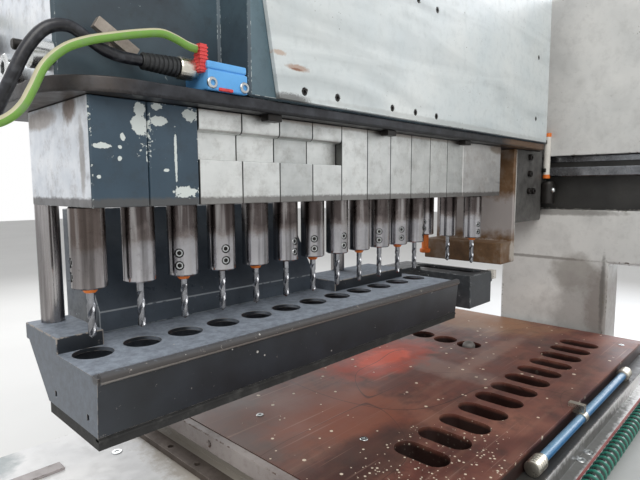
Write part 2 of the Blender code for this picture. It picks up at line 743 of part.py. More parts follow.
def make_base_plate(steel):
    """The black plate that the blocks hang from, bored for every gear hub and both guide rods."""
    corners = (BASE_CORNER, BASE_SMALL_CORNER, BASE_SMALL_CORNER, BASE_SMALL_CORNER)
    outline = rectangle(BASE_LEFT, HEAD_FRONT, BASE_RIGHT, HEAD_REAR, corners)
    holes = [circle(*place, HUB_RADIUS + HUB_CLEARANCE, BORE_SIDES) for place in row_places()]
    holes += [circle(x, ROD_Y, ROD_RADIUS + ROD_CLEARANCE, ROD_SIDES) for x in ROD_XS]
    shaped("base_plate", steel, lambda bm: add_slab(bm, outline, BASE_BOTTOM, BASE_TOP, holes=holes))


def make_housing(paint):
    """The gear housing, stepped back at its left: a gear pocket, and bores above it for shafts and rods."""
    wall = HOUSING_WALL
    outer = [
        (HOUSING_LEFT, HOUSING_STEP_Y), (HOUSING_STEP_X, HOUSING_STEP_Y), (HOUSING_STEP_X, HEAD_FRONT),
        (HOUSING_RIGHT, HEAD_FRONT), (HOUSING_RIGHT, HEAD_REAR), (HOUSING_LEFT, HEAD_REAR),
    ]
    inner = [
        (HOUSING_LEFT + wall, HOUSING_STEP_Y + wall), (HOUSING_STEP_X + wall, HOUSING_STEP_Y + wall),
        (HOUSING_STEP_X + wall, HEAD_FRONT + wall), (HOUSING_RIGHT - wall, HEAD_FRONT + wall),
        (HOUSING_RIGHT - wall, HEAD_REAR - wall), (HOUSING_LEFT + wall, HEAD_REAR - wall),
    ]
    housing = shaped("housing", paint, lambda bm: add_slab(bm, outer, HOUSING_BOTTOM, HOUSING_TOP))
    soften(housing, HOUSING_EDGE)

    def glands(bm):
        ends = (HOUSING_LEFT - GLAND_LENGTH, HOUSING_LEFT + SINK)
        for centre, radius in ((CABLE_GLAND, CABLE_GLAND_RADIUS), (EARTH_GLAND, EARTH_GLAND_RADIUS)):
            add_slab(bm, circle(*centre, radius, BORE_SIDES), *ends, "X")

    combine(housing, "UNION", "glands", glands)
    pocket_top = GEAR_TOP + POCKET_CLEARANCE
    combine(housing, "DIFFERENCE", "pocket",
            lambda bm: add_slab(bm, inner, HOUSING_BOTTOM - OVERRUN, pocket_top))

    def bores(bm):
        for place in row_places():
            outline = circle(*place, BLOCK_BORE_RADIUS, BORE_SIDES)
            add_slab(bm, outline, pocket_top - OVERRUN, SHAFT_TOP + POCKET_CLEARANCE)
        for x in ROD_XS:
            outline = circle(x, ROD_Y, ROD_RADIUS + ROD_CLEARANCE, ROD_SIDES)
            add_slab(bm, outline, pocket_top - OVERRUN, ROD_TOP + ROD_TRAVEL + POCKET_CLEARANCE)

    combine(housing, "DIFFERENCE", "bores", bores)


def make_cover_plate(paint):
    """The pale plate on the front of the housing, with its slanted left-hand edge."""
    bottom, top = HOUSING_BOTTOM + COVER_MARGIN, HOUSING_TOP - COVER_MARGIN
    outline = [
        (COVER_LEFT, bottom), (COVER_RIGHT, bottom), (COVER_RIGHT, top),
        (COVER_LEFT_TOP, top), (COVER_LEFT_TOP, bottom + COVER_SLANT_HEIGHT),
    ]
    holes = [circle(x, BASE_TOP + z, COVER_HOLE_RADIUS, SMALL_SIDES) for x, z in COVER_HOLES]
    face = HEAD_FRONT - GAP
    shaped("cover_plate", paint, lambda bm: add_slab(bm, outline, face - COVER_THICKNESS, face, "Y", holes))


def make_end_plate(steel):
    """The rusty plate beside the end block, with a heavy foot along its lower edge."""
    left, right = END_PLATE_LEFT, END_PLATE_LEFT + END_PLATE_THICKNESS
    foot_top = BLOCK_TOP - END_PLATE_HEIGHT
    foot_bottom = foot_top - END_FOOT_HEIGHT
    profile = [
        (END_FOOT_LEFT, foot_bottom), (right, foot_bottom), (right, BLOCK_TOP),
        (left, BLOCK_TOP), (left, foot_top), (END_FOOT_LEFT, foot_top),
    ]
    plate = shaped(
        "end_plate", steel,
        lambda bm: add_slab(bm, profile, END_PLATE_FRONT, END_PLATE_REAR, "Y"),
    )
    soften(plate, BLOCK_CORNER)


def slide_outline(grow=0.0):
    """The dovetail slide's T section in X and Y: the stem on the carriage, the head in the bracket."""
    stem, head = SLIDE_STEM_WIDTH / 2 + grow, SLIDE_HEAD_WIDTH / 2 + grow
    neck = CARRIAGE_LEFT - SLIDE_STEM_DEPTH
    tip = neck - SLIDE_HEAD_DEPTH
    root = CARRIAGE_LEFT + (OVERRUN if grow else SINK)
    return [
        (root, SLIDE_Y - stem), (root, SLIDE_Y + stem), (neck + grow, SLIDE_Y + stem),
        (neck + grow, SLIDE_Y + head), (tip - grow, SLIDE_Y + head), (tip - grow, SLIDE_Y - head),
        (neck + grow, SLIDE_Y - head), (neck + grow, SLIDE_Y - stem),
    ]


def make_head_bracket(steel):
    """The arm from the base plate to the carriage: a bolted front plate and a slide runner."""
    left = END_PLATE_LEFT + END_PLATE_THICKNESS + GAP
    right = CARRIAGE_LEFT - GAP
    back = END_PLATE_FRONT + BRACKET_THICKNESS
    bracket = shaped("head_bracket", steel, lambda bm: add_box(
        bm, (left, right), (END_PLATE_FRONT, back), (BLOCK_TOP - BRACKET_HEIGHT, BLOCK_TOP)))
    half = SLIDE_HEAD_WIDTH / 2 + RUNNER_SIDE
    combine(bracket, "UNION", "runner", lambda bm: add_box(
        bm, (RUNNER_LEFT, right), (SLIDE_Y - half, SLIDE_Y + half), (BLOCK_TOP - RUNNER_HEIGHT, BLOCK_TOP)))
    combine(bracket, "UNION", "rib", lambda bm: add_box(
        bm, (BRACKET_RIB_LEFT, BRACKET_RIB_RIGHT), (back - SINK, SLIDE_Y - half + SINK),
        (BLOCK_TOP - BRACKET_RIB_HEIGHT, BLOCK_TOP - SINK)))
    combine(bracket, "DIFFERENCE", "slide_slot", lambda bm: add_slab(
        bm, slide_outline(grow=GAP), BLOCK_TOP - RUNNER_HEIGHT - OVERRUN, BLOCK_TOP + OVERRUN))


def make_carriage(steel):
    """The plate between the head's slide and the rail, with a saddle that grips the rail."""
    low, high = BASE_BOTTOM - CARRIAGE_BELOW, BASE_BOTTOM + CARRIAGE_ABOVE
    face = CARRIAGE_LEFT + CARRIAGE_THICKNESS
    carriage = shaped(
        "carriage", steel,
        lambda bm: add_box(bm, (CARRIAGE_LEFT, face), (CARRIAGE_FRONT, CARRIAGE_REAR), (low, high)),
    )
    combine(carriage, "UNION", "slide", lambda bm: add_slab(bm, slide_outline(), low, high - SLIDE_STOP))

    def saddle(bm):
        rail_top = RAIL_BOTTOM + RAIL_HEIGHT
        for bottom in (RAIL_BOTTOM - GAP - SADDLE_WALL, rail_top + GAP):
            add_box(
                bm, (face - SINK, face + SADDLE_DEPTH), (CARRIAGE_FRONT, CARRIAGE_REAR),
                (bottom, bottom + SADDLE_WALL),
            )

    combine(carriage, "UNION", "saddle", saddle)


def make_upright(paint):
    """The painted upright: a narrow column below, a wide beam, and a recess for the rail."""
    profile = [
        (COLUMN_FRONT, BED_TOP + GAP), (COLUMN_REAR, BED_TOP + GAP), (COLUMN_REAR, BEAM_BOTTOM),
        (UPRIGHT_REAR, BEAM_BOTTOM), (UPRIGHT_REAR, HOUSING_TOP), (UPRIGHT_FRONT, HOUSING_TOP),
        (UPRIGHT_FRONT, BEAM_BOTTOM), (COLUMN_FRONT, BEAM_BOTTOM),
    ]
    upright = shaped("upright", paint, lambda bm: add_slab(bm, profile, UPRIGHT_LEFT, UPRIGHT_RIGHT, "X"))
    soften(upright, UPRIGHT_EDGE)
    combine(upright, "DIFFERENCE", "recess", lambda bm: add_box(
        bm, (UPRIGHT_LEFT - OVERRUN, UPRIGHT_LEFT + RECESS_DEPTH),
        (UPRIGHT_FRONT - OVERRUN, UPRIGHT_REAR + OVERRUN), (RECESS_BOTTOM, RECESS_BOTTOM + RECESS_HEIGHT)))


def make_rail(steel):
    """The ground rail in the recess, on which the carriage runs."""
    left = CARRIAGE_LEFT + CARRIAGE_THICKNESS + GAP
    right = UPRIGHT_LEFT + RECESS_DEPTH - GAP
    rail = shaped("carriage_rail", steel, lambda bm: add_box(
        bm, (left, right), (UPRIGHT_FRONT + RAIL_INSET, UPRIGHT_REAR - RAIL_INSET),
        (RAIL_BOTTOM, RAIL_BOTTOM + RAIL_HEIGHT)))
    soften(rail, BLOCK_CORNER)


def make_hood(steel):
    """The folded dust hood: a leaning open-bottomed shell with a rolled lip and a rubber skirt."""
    wall = HOOD_WALL
    bottom_front, bottom_rear = HOOD_FRONT + HOOD_FRONT_LEAN, HOOD_REAR - HOOD_REAR_LEAN
    outer = [
        (HOOD_FRONT, HOOD_TOP), (bottom_front, HOOD_BOTTOM),
        (bottom_rear, HOOD_BOTTOM), (HOOD_REAR, HOOD_TOP),
    ]
    rear_slope = HOOD_REAR_LEAN / HOOD_HEIGHT
    below = HOOD_BOTTOM - OVERRUN
    inner = [
        (HOOD_FRONT + wall, HOOD_TOP - wall), (bottom_front + wall, below),
        (bottom_rear - wall - rear_slope * OVERRUN, below),
        (HOOD_REAR - wall * (1 + rear_slope), HOOD_TOP - wall),
    ]
    hood = shaped("hood", steel, lambda bm: add_slab(bm, outer, HOOD_LEFT, HOOD_RIGHT, "X"))
    combine(hood, "DIFFERENCE", "hollow",
            lambda bm: add_slab(bm, inner, HOOD_LEFT + wall, HOOD_RIGHT - wall, "X"))

    def pads(bm):
        z = (HOOD_TOP - SINK, HOOD_TOP + FOOT_PAD_HEIGHT)
        add_box(bm, (HOOD_LEFT, LEFT_PAD_RIGHT), (LEFT_PAD_FRONT, PAD_REAR), z)
        add_box(bm, (RIGHT_PAD_LEFT, RIGHT_PAD_RIGHT), (RIGHT_PAD_FRONT, HOOD_REAR - GAP), z)

    def lip(bm):
        centre = (HOOD_FRONT + SINK / 2, HOOD_TOP - SINK / 2)
        add_slab(bm, circle(*centre, LIP_RADIUS, SMALL_SIDES), HOOD_LEFT + SINK, HOOD_RIGHT - SINK, "X")

    def skirt(bm):
        left, right = HOOD_LEFT + GAP, HOOD_RIGHT - GAP
        back_of_front = bottom_front + SEAL_THICKNESS
        outline = [
            (left, bottom_front), (right, bottom_front), (right, bottom_rear - SINK),
            (right - SEAL_THICKNESS, bottom_rear - SINK), (right - SEAL_THICKNESS, back_of_front),
            (left + SEAL_THICKNESS, back_of_front), (left + SEAL_THICKNESS, bottom_rear - SINK),
            (left, bottom_rear - SINK),
        ]
        add_slab(bm, outline, HOOD_BOTTOM - SEAL_HEIGHT, HOOD_BOTTOM + SINK)

    combine(hood, "UNION", "pads", pads)
    combine(hood, "UNION", "lip", lip)
    combine(hood, "UNION", "skirt", skirt)

    def holes(bm):
        z = (HOOD_TOP - wall - OVERRUN, HOOD_TOP + OVERRUN)
        for k in range(ROW_COUNT):
            add_slab(bm, circle(k * PITCH, 0, HOOD_HOLE_RADIUS, ROUND_SIDES), *z)
        x = (DUCT_LEFT + DUCT_MOUTH_MARGIN, DUCT_RIGHT - DUCT_MOUTH_MARGIN)
        add_box(bm, x, (DUCT_MOUTH_FRONT, DUCT_MOUTH_REAR), z)

    combine(hood, "DIFFERENCE", "holes", holes)


def make_cross_hood(steel):
    """The narrow hood under the transverse row, and the link plate that ties it to the long one."""
    wall = HOOD_WALL
    x = (CROSS_HOOD_LEFT, CROSS_HOOD_RIGHT)
    y = (CROSS_HOOD_FRONT, CROSS_HOOD_REAR)
    bottom = HOOD_TOP - CROSS_HOOD_HEIGHT
    hood = shaped("cross_hood", steel, lambda bm: add_box(bm, x, y, (bottom, HOOD_TOP)))
    soften(hood, BLOCK_CORNER)
    combine(hood, "DIFFERENCE", "hollow", lambda bm: add_box(
        bm, (x[0] + wall, x[1] - wall), (y[0] + wall, y[1] - wall), (bottom - OVERRUN, HOOD_TOP - wall)))

    reach = (CROSS_COUNT - 1) * PITCH
    mouth = slot(CROSS_X, CROSS_Y + reach / 2, 2 * HOOD_HOLE_RADIUS, reach + 2 * HOOD_HOLE_RADIUS)
    combine(hood, "DIFFERENCE", "mouth",
            lambda bm: add_slab(bm, mouth, HOOD_TOP - wall - OVERRUN, HOOD_TOP + OVERRUN))

    def link(bm):
        low, high = HOOD_TOP + GAP, HOOD_TOP + GAP + LINK_THICKNESS
        profile = [
            (LINK_LEFT, low), (x[0] + BLOCK_CORNER, low), (x[0] + BLOCK_CORNER, HOOD_TOP - SINK),
            (x[0] + LINK_FOOT, HOOD_TOP - SINK), (x[0] + LINK_FOOT, high), (LINK_LEFT, high),
        ]
        add_slab(bm, profile, LINK_FRONT, LINK_REAR, "Y")

    combine(hood, "UNION", "link", link)


def make_rods(steel):
    """The two ground rods that carry the hoods and slide in the base plate."""
    low = HOOD_TOP + FOOT_PAD_HEIGHT + GAP
    profile = [(ROD_RADIUS, low), (ROD_RADIUS, ROD_TOP - ROD_CHAMFER), (ROD_RADIUS - ROD_CHAMFER, ROD_TOP)]
    bm = bmesh.new()
    add_turned(bm, profile, ROD_SIDES)
    mesh = mesh_of("guide_rod", bm)
    for side, x in zip(("left", "right"), ROD_XS):
        add_object(f"guide_rod_{side}", mesh, steel, (x, ROD_Y))


def make_duct(steel):
    """The sheet-metal hopper behind the spindles, open below over the hood's slot, with a hose spigot."""
    wall = DUCT_WALL
    bottom = HOOD_TOP + GAP
    ridge = HOOD_TOP + DUCT_HEIGHT
    sill = HOOD_TOP + DUCT_SILL
    outer = [
        (DUCT_FRONT, bottom), (DUCT_REAR, bottom), (DUCT_REAR, ridge),
        (DUCT_RIDGE_Y, ridge), (DUCT_FRONT, sill),
    ]
    slope = (ridge - sill) / (DUCT_RIDGE_Y - DUCT_FRONT)
    drop = wall * math.hypot(1, slope)
    inner = [
        (DUCT_FRONT + wall, bottom - OVERRUN), (DUCT_REAR - wall, bottom - OVERRUN),
        (DUCT_REAR - wall, ridge - wall), (DUCT_RIDGE_Y + (drop - wall) / slope, ridge - wall),
        (DUCT_FRONT + wall, sill + slope * wall - drop),
    ]
    duct = shaped("extraction_duct", steel, lambda bm: add_slab(bm, outer, DUCT_LEFT, DUCT_RIGHT, "X"))
    centre = (SPIGOT_X, HOOD_TOP + SPIGOT_HEIGHT)
    combine(duct, "UNION", "spigot", lambda bm: add_slab(
        bm, circle(*centre, SPIGOT_RADIUS, ROUND_SIDES), DUCT_REAR - SINK, DUCT_REAR + SPIGOT_LENGTH, "Y"))
    combine(duct, "DIFFERENCE", "hollow",
            lambda bm: add_slab(bm, inner, DUCT_LEFT + wall, DUCT_RIGHT - wall, "X"))

    combine(duct, "DIFFERENCE", "bore", lambda bm: add_slab(
        bm, circle(*centre, SPIGOT_RADIUS - wall, ROUND_SIDES),
        DUCT_REAR - wall - OVERRUN, DUCT_REAR + SPIGOT_LENGTH + OVERRUN, "Y"))


def make_sensor(plastic, rubber):
    """The blue photocell on the base plate with its terminal, and the ribbed plug in its side."""
    sensor = shaped("sensor", plastic, lambda bm: add_box(
        bm, (SENSOR_LEFT, SENSOR_RIGHT), (SENSOR_FRONT, SENSOR_REAR),
        (BASE_TOP + GAP, BASE_TOP + GAP + SENSOR_HEIGHT)))
    soften(sensor, SENSOR_EDGE)
    top = BASE_TOP + GAP + SENSOR_HEIGHT
    combine(sensor, "UNION", "terminal", lambda bm: add_box(
        bm, (LUG_LEFT, LUG_LEFT + LUG_WIDTH), (LUG_FRONT, LUG_FRONT + LUG_WIDTH),
        (top - SINK, top + LUG_HEIGHT)))

    nut_left = SENSOR_LEFT - GAP - NUT_LENGTH
    profile = [(NUT_RADIUS, SENSOR_LEFT - GAP), (NUT_RADIUS, nut_left), (BOOT_RADIUS, nut_left)]
    pitch = BOOT_LENGTH / BOOT_RIBS
    for k in range(BOOT_RIBS):
        x = nut_left - pitch * k
        rib, groove, next_rib = (x - pitch * share for share in BOOT_RIB_SHARES)
        profile += [(BOOT_RADIUS, rib), (BOOT_GROOVE_RADIUS, groove)]
        profile += [(BOOT_GROOVE_RADIUS, next_rib), (BOOT_RADIUS, x - pitch)]
    centre = (PLUG_Y, BASE_TOP + PLUG_ABOVE_BASE)
    shaped("cable_plug", rubber, lambda bm: add_turned(bm, profile, BORE_SIDES, "X", centre))


def smooth_route(points, spacing):
    """Points at an even spacing on a smooth curve through the route's own points."""
    dense = []
    for k in range(len(points) - 1):
        a, b, c, d = (Vector(points[i]) for i in (max(k - 1, 0), k, k + 1, min(k + 2, len(points) - 1)))
        for step in range(8):
            t = step / 8
            dense.append(0.5 * (
                2 * b + (c - a) * t + (2 * a - 5 * b + 4 * c - d) * t**2 + (3 * b - a - 3 * c + d) * t**3))
    dense.append(Vector(points[-1]))
    length = sum((q - p).length for p, q in zip(dense, dense[1:]))
    count = round(length / spacing)
    route, travelled, wanted = [dense[0]], 0.0, length / count
    for p, q in zip(dense, dense[1:]):
        stretch = (q - p).length
        while len(route) < count and travelled + stretch >= wanted * len(route):
            route.append(p.lerp(q, (wanted * len(route) - travelled) / stretch))
        travelled += stretch
    return route + [dense[-1]]


def make_lead(name, points, diameter, material):
    """A plain round tube along a route."""
    curve = bpy.data.curves.new(name, "CURVE")
    curve.dimensions = "3D"
    curve.bevel_depth = diameter / 2
    curve.bevel_resolution = 2
    curve.use_fill_caps = True
    route = smooth_route(points, LEAD_STEP_SHARE * diameter)
    spline = curve.splines.new("POLY")
    spline.points.add(len(route) - 1)
    for point, place in zip(spline.points, route):
        point.co = (*place, 1)
    curve.materials.append(material)
    add_object(name, curve, material)


def make_bed(paint):
    """The bed: a cast block with panelled sides that stands on the floor, and a land for the table."""
    left, right = -BED_LEFT, UPRIGHT_RIGHT
    front, rear = -BED_FRONT, BED_DEPTH - BED_FRONT
    outline = rectangle(left, front, right, rear, (BED_CORNER,) * 4)
    bed = shaped("bed", paint, lambda bm: add_slab(bm, outline, 0, BED_TOP))
    soften(bed, BED_EDGE)
    panel_z = (PANEL_FOOT, BED_TOP - PANEL_EDGE)

    def panels(bm):
        width = (BED_LENGTH - 2 * PANEL_MARGIN - 2 * PANEL_RIB) / 3
        for k in range(3):
            x = left + PANEL_MARGIN + k * (width + PANEL_RIB)
            add_box(bm, (x, x + width), (front - OVERRUN, front + PANEL_RECESS), panel_z)
            add_box(bm, (x, x + width), (rear - PANEL_RECESS, rear + OVERRUN), panel_z)
        y = (front + PANEL_MARGIN, rear - PANEL_MARGIN)
        add_box(bm, (left - OVERRUN, left + PANEL_RECESS), y, panel_z)
        add_box(bm, (right - PANEL_RECESS, right + OVERRUN), y, panel_z)

    combine(bed, "DIFFERENCE", "panels", panels)
    combine(bed, "UNION", "land", lambda bm: add_box(
        bm, (TABLE_LEFT + TABLE_INSET, TABLE_RIGHT - TABLE_INSET),
        (TUBE_LAND_FRONT, TABLE_REAR - TABLE_INSET), (BED_TOP - SINK, LAND_TOP)))


def make_table(laminate, strip_material):
    """The laminate table with twelve drill slots and three holes, and the strip on its left edge."""
    outline = rectangle(TABLE_LEFT, TABLE_FRONT, TABLE_RIGHT, TABLE_REAR)
    holes = [slot(SLOT_FIRST_X + k * PITCH, SLOT_Y, SLOT_WIDTH, SLOT_LENGTH) for k in range(ROW_COUNT)]
    holes += [circle(*place, TABLE_HOLE_RADIUS, ROUND_SIDES) for place in row_places()[ROW_COUNT:]]
    shaped("table_plate", laminate, lambda bm: add_slab(bm, outline, TABLE_BOTTOM, TABLE_TOP, holes=holes))

    right = TABLE_LEFT - GAP
    length = TABLE_REAR - TABLE_FRONT
    middle = (TABLE_BOTTOM + TABLE_TOP) / 2
    side = rectangle(TABLE_FRONT, TABLE_BOTTOM, TABLE_REAR, TABLE_TOP - GAP)
    bores = [circle(TABLE_FRONT + length * share, middle, STRIP_HOLE_RADIUS, SMALL_SIDES)
             for share in STRIP_HOLE_SHARES]
    shaped("table_edge_strip", strip_material,
           lambda bm: add_slab(bm, side, right - STRIP_WIDTH, right, "X", bores))


def make_air_tube(plastic):
    """The air tube along the table's front, with a fitting at each end and a clip sleeve."""
    centre = (TUBE_Y, LAND_TOP + GAP + TUBE_FITTING_RADIUS)
    clip = (TUBE_CLIP_X - TUBE_CLIP_LENGTH / 2, TUBE_CLIP_X + TUBE_CLIP_LENGTH / 2)
    profile = [
        (TUBE_FITTING_RADIUS, TUBE_LEFT), (TUBE_FITTING_RADIUS, TUBE_LEFT + TUBE_FITTING_LENGTH),
        (TUBE_RADIUS, TUBE_LEFT + TUBE_FITTING_LENGTH), (TUBE_RADIUS, clip[0]),
        (TUBE_CLIP_RADIUS, clip[0]), (TUBE_CLIP_RADIUS, clip[1]), (TUBE_RADIUS, clip[1]),
        (TUBE_RADIUS, TUBE_RIGHT - TUBE_FITTING_LENGTH),
        (TUBE_FITTING_RADIUS, TUBE_RIGHT - TUBE_FITTING_LENGTH), (TUBE_FITTING_RADIUS, TUBE_RIGHT),
    ]
    shaped("air_tube", plastic, lambda bm: add_turned(bm, profile, BORE_SIDES, "X", centre))


def make_ribbed_conduit(plastic):
    """The ribbed conduit on the bed in front of the table, with a fitting at each end."""
    centre = (HOSE_Y, BED_TOP + GAP + HOSE_END_RADIUS)
    first, last = HOSE_LEFT + HOSE_END_LENGTH, HOSE_RIGHT - HOSE_END_LENGTH
    count = round((last - first) / HOSE_PITCH)
    pitch = (last - first) / count
    profile = [(HOSE_END_RADIUS, HOSE_LEFT), (HOSE_END_RADIUS, first), (HOSE_GROOVE_RADIUS, first)]
    for k in range(count):
        x = first + pitch * k
        profile += [(HOSE_RADIUS, x + pitch / 2), (HOSE_GROOVE_RADIUS, x + pitch)]
    profile += [(HOSE_END_RADIUS, last), (HOSE_END_RADIUS, HOSE_RIGHT)]
    shaped("ribbed_conduit", plastic, lambda bm: add_turned(bm, profile, SMALL_SIDES, "X", centre))


def main():
    clear_scene()
    spindle_line()
    teal = finish_of("teal_paint", (0.03, 0.06, 0.08), 0.45)
    grey = finish_of("grey_paint", (0.60, 0.60, 0.57), 0.5)
    white = finish_of("white_paint", (0.80, 0.80, 0.77), 0.45)
    black = finish_of("blackened_steel", (0.03, 0.03, 0.035), 0.5, 0.6)
    bright = finish_of("ground_steel", (0.55, 0.54, 0.52), 0.3, 1.0)
    rusty = finish_of("rusty_steel", (0.28, 0.16, 0.08), 0.7, 0.3)
    aluminium = finish_of("machined_aluminium", (0.62, 0.62, 0.60), 0.4, 1.0)
    laminate = finish_of("phenolic_laminate", (0.20, 0.07, 0.05), 0.35)
    strip = finish_of("pale_strip", (0.60, 0.52, 0.42), 0.6)
    blue = finish_of("blue_plastic", (0.06, 0.32, 0.62), 0.35)
    green = finish_of("green_plastic", (0.02, 0.25, 0.18), 0.35)
    rubber = finish_of("black_rubber", (0.02, 0.02, 0.022), 0.6)
    earth = finish_of("earth_wire", (0.35, 0.55, 0.08), 0.45)
    make_bed(white)
    make_table(laminate, strip)
    make_air_tube(blue)
    make_ribbed_conduit(green)
    make_upright(grey)
    make_rail(bright)
    make_carriage(black)
    make_base_plate(black)
    make_housing(teal)
    make_cover_plate(white)
    make_plain_blocks(teal)
    make_stepped_blocks(aluminium)
    make_cylinder_bank(aluminium)
    make_end_block(aluminium)
    make_end_plate(rusty)
    make_head_bracket(black)
    make_sensor(blue, rubber)
    make_lead("sensor_cable", CABLE_ROUTE, CABLE_DIAMETER, rubber)
    make_lead("earth_wire", EARTH_ROUTE, EARTH_DIAMETER, earth)
    make_hood(black)
    make_cross_hood(black)
    make_rods(bright)
    make_duct(teal)
    make_gears(bright)
    make_spindles(bright)


main()
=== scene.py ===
# %% [markdown]
# This is the drilling station of a furniture line. A long row of boring spindles and a short cross row hang
# from one head over a slotted table, with a dust hood between them. The solids come packed, in metres, with
# the body that each one moves with. Everything below dresses them: rounder spindles, screws, cables, paint.

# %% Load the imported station
import math

import bmesh
import bpy
from mathutils import Matrix, Vector


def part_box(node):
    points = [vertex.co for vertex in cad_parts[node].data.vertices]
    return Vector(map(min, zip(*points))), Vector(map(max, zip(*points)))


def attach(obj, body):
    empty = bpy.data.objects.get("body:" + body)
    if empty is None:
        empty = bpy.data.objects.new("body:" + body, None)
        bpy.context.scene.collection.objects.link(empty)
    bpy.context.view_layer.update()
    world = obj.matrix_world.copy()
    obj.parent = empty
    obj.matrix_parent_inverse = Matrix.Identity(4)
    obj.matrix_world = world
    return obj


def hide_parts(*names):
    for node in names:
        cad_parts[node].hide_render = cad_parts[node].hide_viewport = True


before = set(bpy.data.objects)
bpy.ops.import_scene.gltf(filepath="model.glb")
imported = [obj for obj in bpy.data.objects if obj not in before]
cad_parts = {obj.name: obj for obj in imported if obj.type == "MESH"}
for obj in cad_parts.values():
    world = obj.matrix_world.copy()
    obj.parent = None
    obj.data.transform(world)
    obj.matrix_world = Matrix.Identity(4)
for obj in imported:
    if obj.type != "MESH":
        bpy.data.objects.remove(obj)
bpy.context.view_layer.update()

MM = 0.001

# %% [markdown]
# Most places are worked out from the solids, so that a change there carries over. The long row gives the
# first spindle's axis and the pitch. The base plate, the cylinder blocks and the table give the heights
# that screws, chucks and rails sit at.

# %% Places that the rest is measured from
def middle(node):
    low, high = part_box(node)
    return (low + high) / 2


FIRST = middle("spindle_01")
PITCH = middle("spindle_02").x - FIRST.x
ROW = [f"spindle_{k:02d}" for k in range(1, 13)]
CROSS_ROW = [f"spindle_{k:02d}" for k in range(13, 16)]
BASE_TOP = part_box("base_plate")[1].z
BLOCKS_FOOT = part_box("cylinder_block_01")[0].z
TABLE_FOOT, TABLE_TOP = (corner.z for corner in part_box("table_plate"))
print("pitch of the row:", round(PITCH / MM, 2), "mm")


def in_line(x, y, z):
    """A place in mm along the row from the first spindle, behind its plane, and up from the floor."""
    return Vector((FIRST.x + x * MM, FIRST.y + y * MM, z * MM))


# %% [markdown]
# The camera stands low in front of the left-hand end and looks along the head. A lens is a focal length and
# a sensor; here both come from the picture's width in pixels, so that the frame matches the photograph's.

# %% Camera
PICTURE_WIDTH, FOCAL_PIXELS = 640, 507.0
CAMERA_PLACE = in_line(-122.5, -308.6, 350.0)
LOOK_TURN, LOOK_DOWN, LOOK_ROLL = math.radians(43.62), math.radians(5.9), math.radians(-0.2)

camera = bpy.data.objects.new("camera", bpy.data.cameras.new("camera"))
bpy.context.scene.collection.objects.link(camera)
camera.data.sensor_width = 36
camera.data.lens = FOCAL_PIXELS / PICTURE_WIDTH * camera.data.sensor_width
ahead = Vector((math.cos(LOOK_TURN) * math.cos(LOOK_DOWN), math.sin(LOOK_TURN) * math.cos(LOOK_DOWN),
                -math.sin(LOOK_DOWN)))
turn = ahead.to_track_quat("-Z", "Y").to_matrix() @ Matrix.Rotation(LOOK_ROLL, 3, "Z")
camera.matrix_world = Matrix.Translation(CAMERA_PLACE) @ turn.to_4x4()
bpy.context.scene.camera = camera
print("lens:", round(camera.data.lens, 1), "mm")

# %% [markdown]
# Every material below is made of nodes. This one helper adds a node: attributes are set by keyword, and the
# inputs by name or number. A value that is another node's output makes a link, and a value that is a node
# stands for that node's first output. A colour ramp is given its stops. Colours are written as the hex
# values that a screen shows and turned to linear light here. Dirt and wear are layers of tint over a first
# colour.

# %% Helpers for materials
def linear(hex_colour):
    """An sRGB hex colour as linear RGBA."""
    values = [int(hex_colour[k:k + 2], 16) / 255 for k in (1, 3, 5)]
    return (*(v / 12.92 if v <= 0.04045 else ((v + 0.055) / 1.055) ** 2.4 for v in values), 1.0)


def add(tree, kind, inputs=(), stops=(), **settings):
    """Adds a shader node to a tree, or sets up the given one, and returns it."""
    node = tree.nodes.new("ShaderNode" + kind) if isinstance(kind, str) else kind
    for name, value in settings.items():
        setattr(node, name, value)
    for key, value in dict(inputs).items():
        if isinstance(value, bpy.types.Node):
            value = value.outputs[0]
        if isinstance(value, bpy.types.NodeSocket):
            tree.links.new(value, node.inputs[key])
        else:
            node.inputs[key].default_value = value
    if stops:
        ramp = node.color_ramp.elements
        while len(ramp) < len(stops):
            ramp.new(1.0)
        for element, (place, colour) in zip(ramp, stops):
            element.position = place
            element.color = linear(colour) if isinstance(colour, str) else (colour,) * 3 + (1.0,)
    return node


def start(name, coordinates="Object"):
    """A new material, its tree, its shader and its texture coordinates."""
    material = bpy.data.materials.new(name)
    material.use_nodes = True
    tree = material.node_tree
    place = add(tree, "TexCoord").outputs[coordinates]
    return material, tree, tree.nodes["Principled BSDF"], place


def tinted(tree, colour, layers):
    """A colour under layers of tint, each given as how much of it shows and its hex colour."""
    for amount, tint in layers:
        colour = add(tree, "Mix", {0: amount, 6: colour, 7: linear(tint)}, data_type="RGBA").outputs[2]
    return colour


def size(mm):
    """The scale of a noise texture whose spots are about this many millimetres across."""
    return 1000 / mm


# %% [markdown]
# The black cable and the earth wire are soft, so each is a curve with a round section. The routes are those
# of the solids, point by point: out of the photocell's plug and terminal, round the left-hand end of the
# head in a hanging loop, and back into the two glands of the housing. A smooth curve through the points is
# read at an even spacing, because straight runs and arcs would look like bent wire.

# %% Sheaths of the leads
def sheath(name, colour, stripe, roughness):
    """Moulded PVC: a soft sheen, faint dust, and a stripe down one side where `stripe` is another colour."""
    material, tree, shader, place = start(name)
    around = add(tree, "SeparateXYZ", {0: add(tree, "TexCoord").outputs["UV"]})
    band = add(tree, "MapRange", {"Value": around.outputs["Y"], "From Min": 0.60, "From Max": 0.63})
    dust = add(tree, "TexNoise", {"Vector": place, "Scale": size(4), "Detail": 6})
    dusty = add(tree, "MapRange", {"Value": dust, "From Min": 0.5, "From Max": 0.75, "To Max": 0.2})
    gloss = add(tree, "MapRange", {"Value": dust, "To Min": roughness - 0.1, "To Max": roughness + 0.2})
    colours = tinted(tree, linear(colour), [(band, stripe), (dusty, "#7E828A")])
    add(tree, shader, {"Base Color": colours, "Roughness": gloss})
    return material


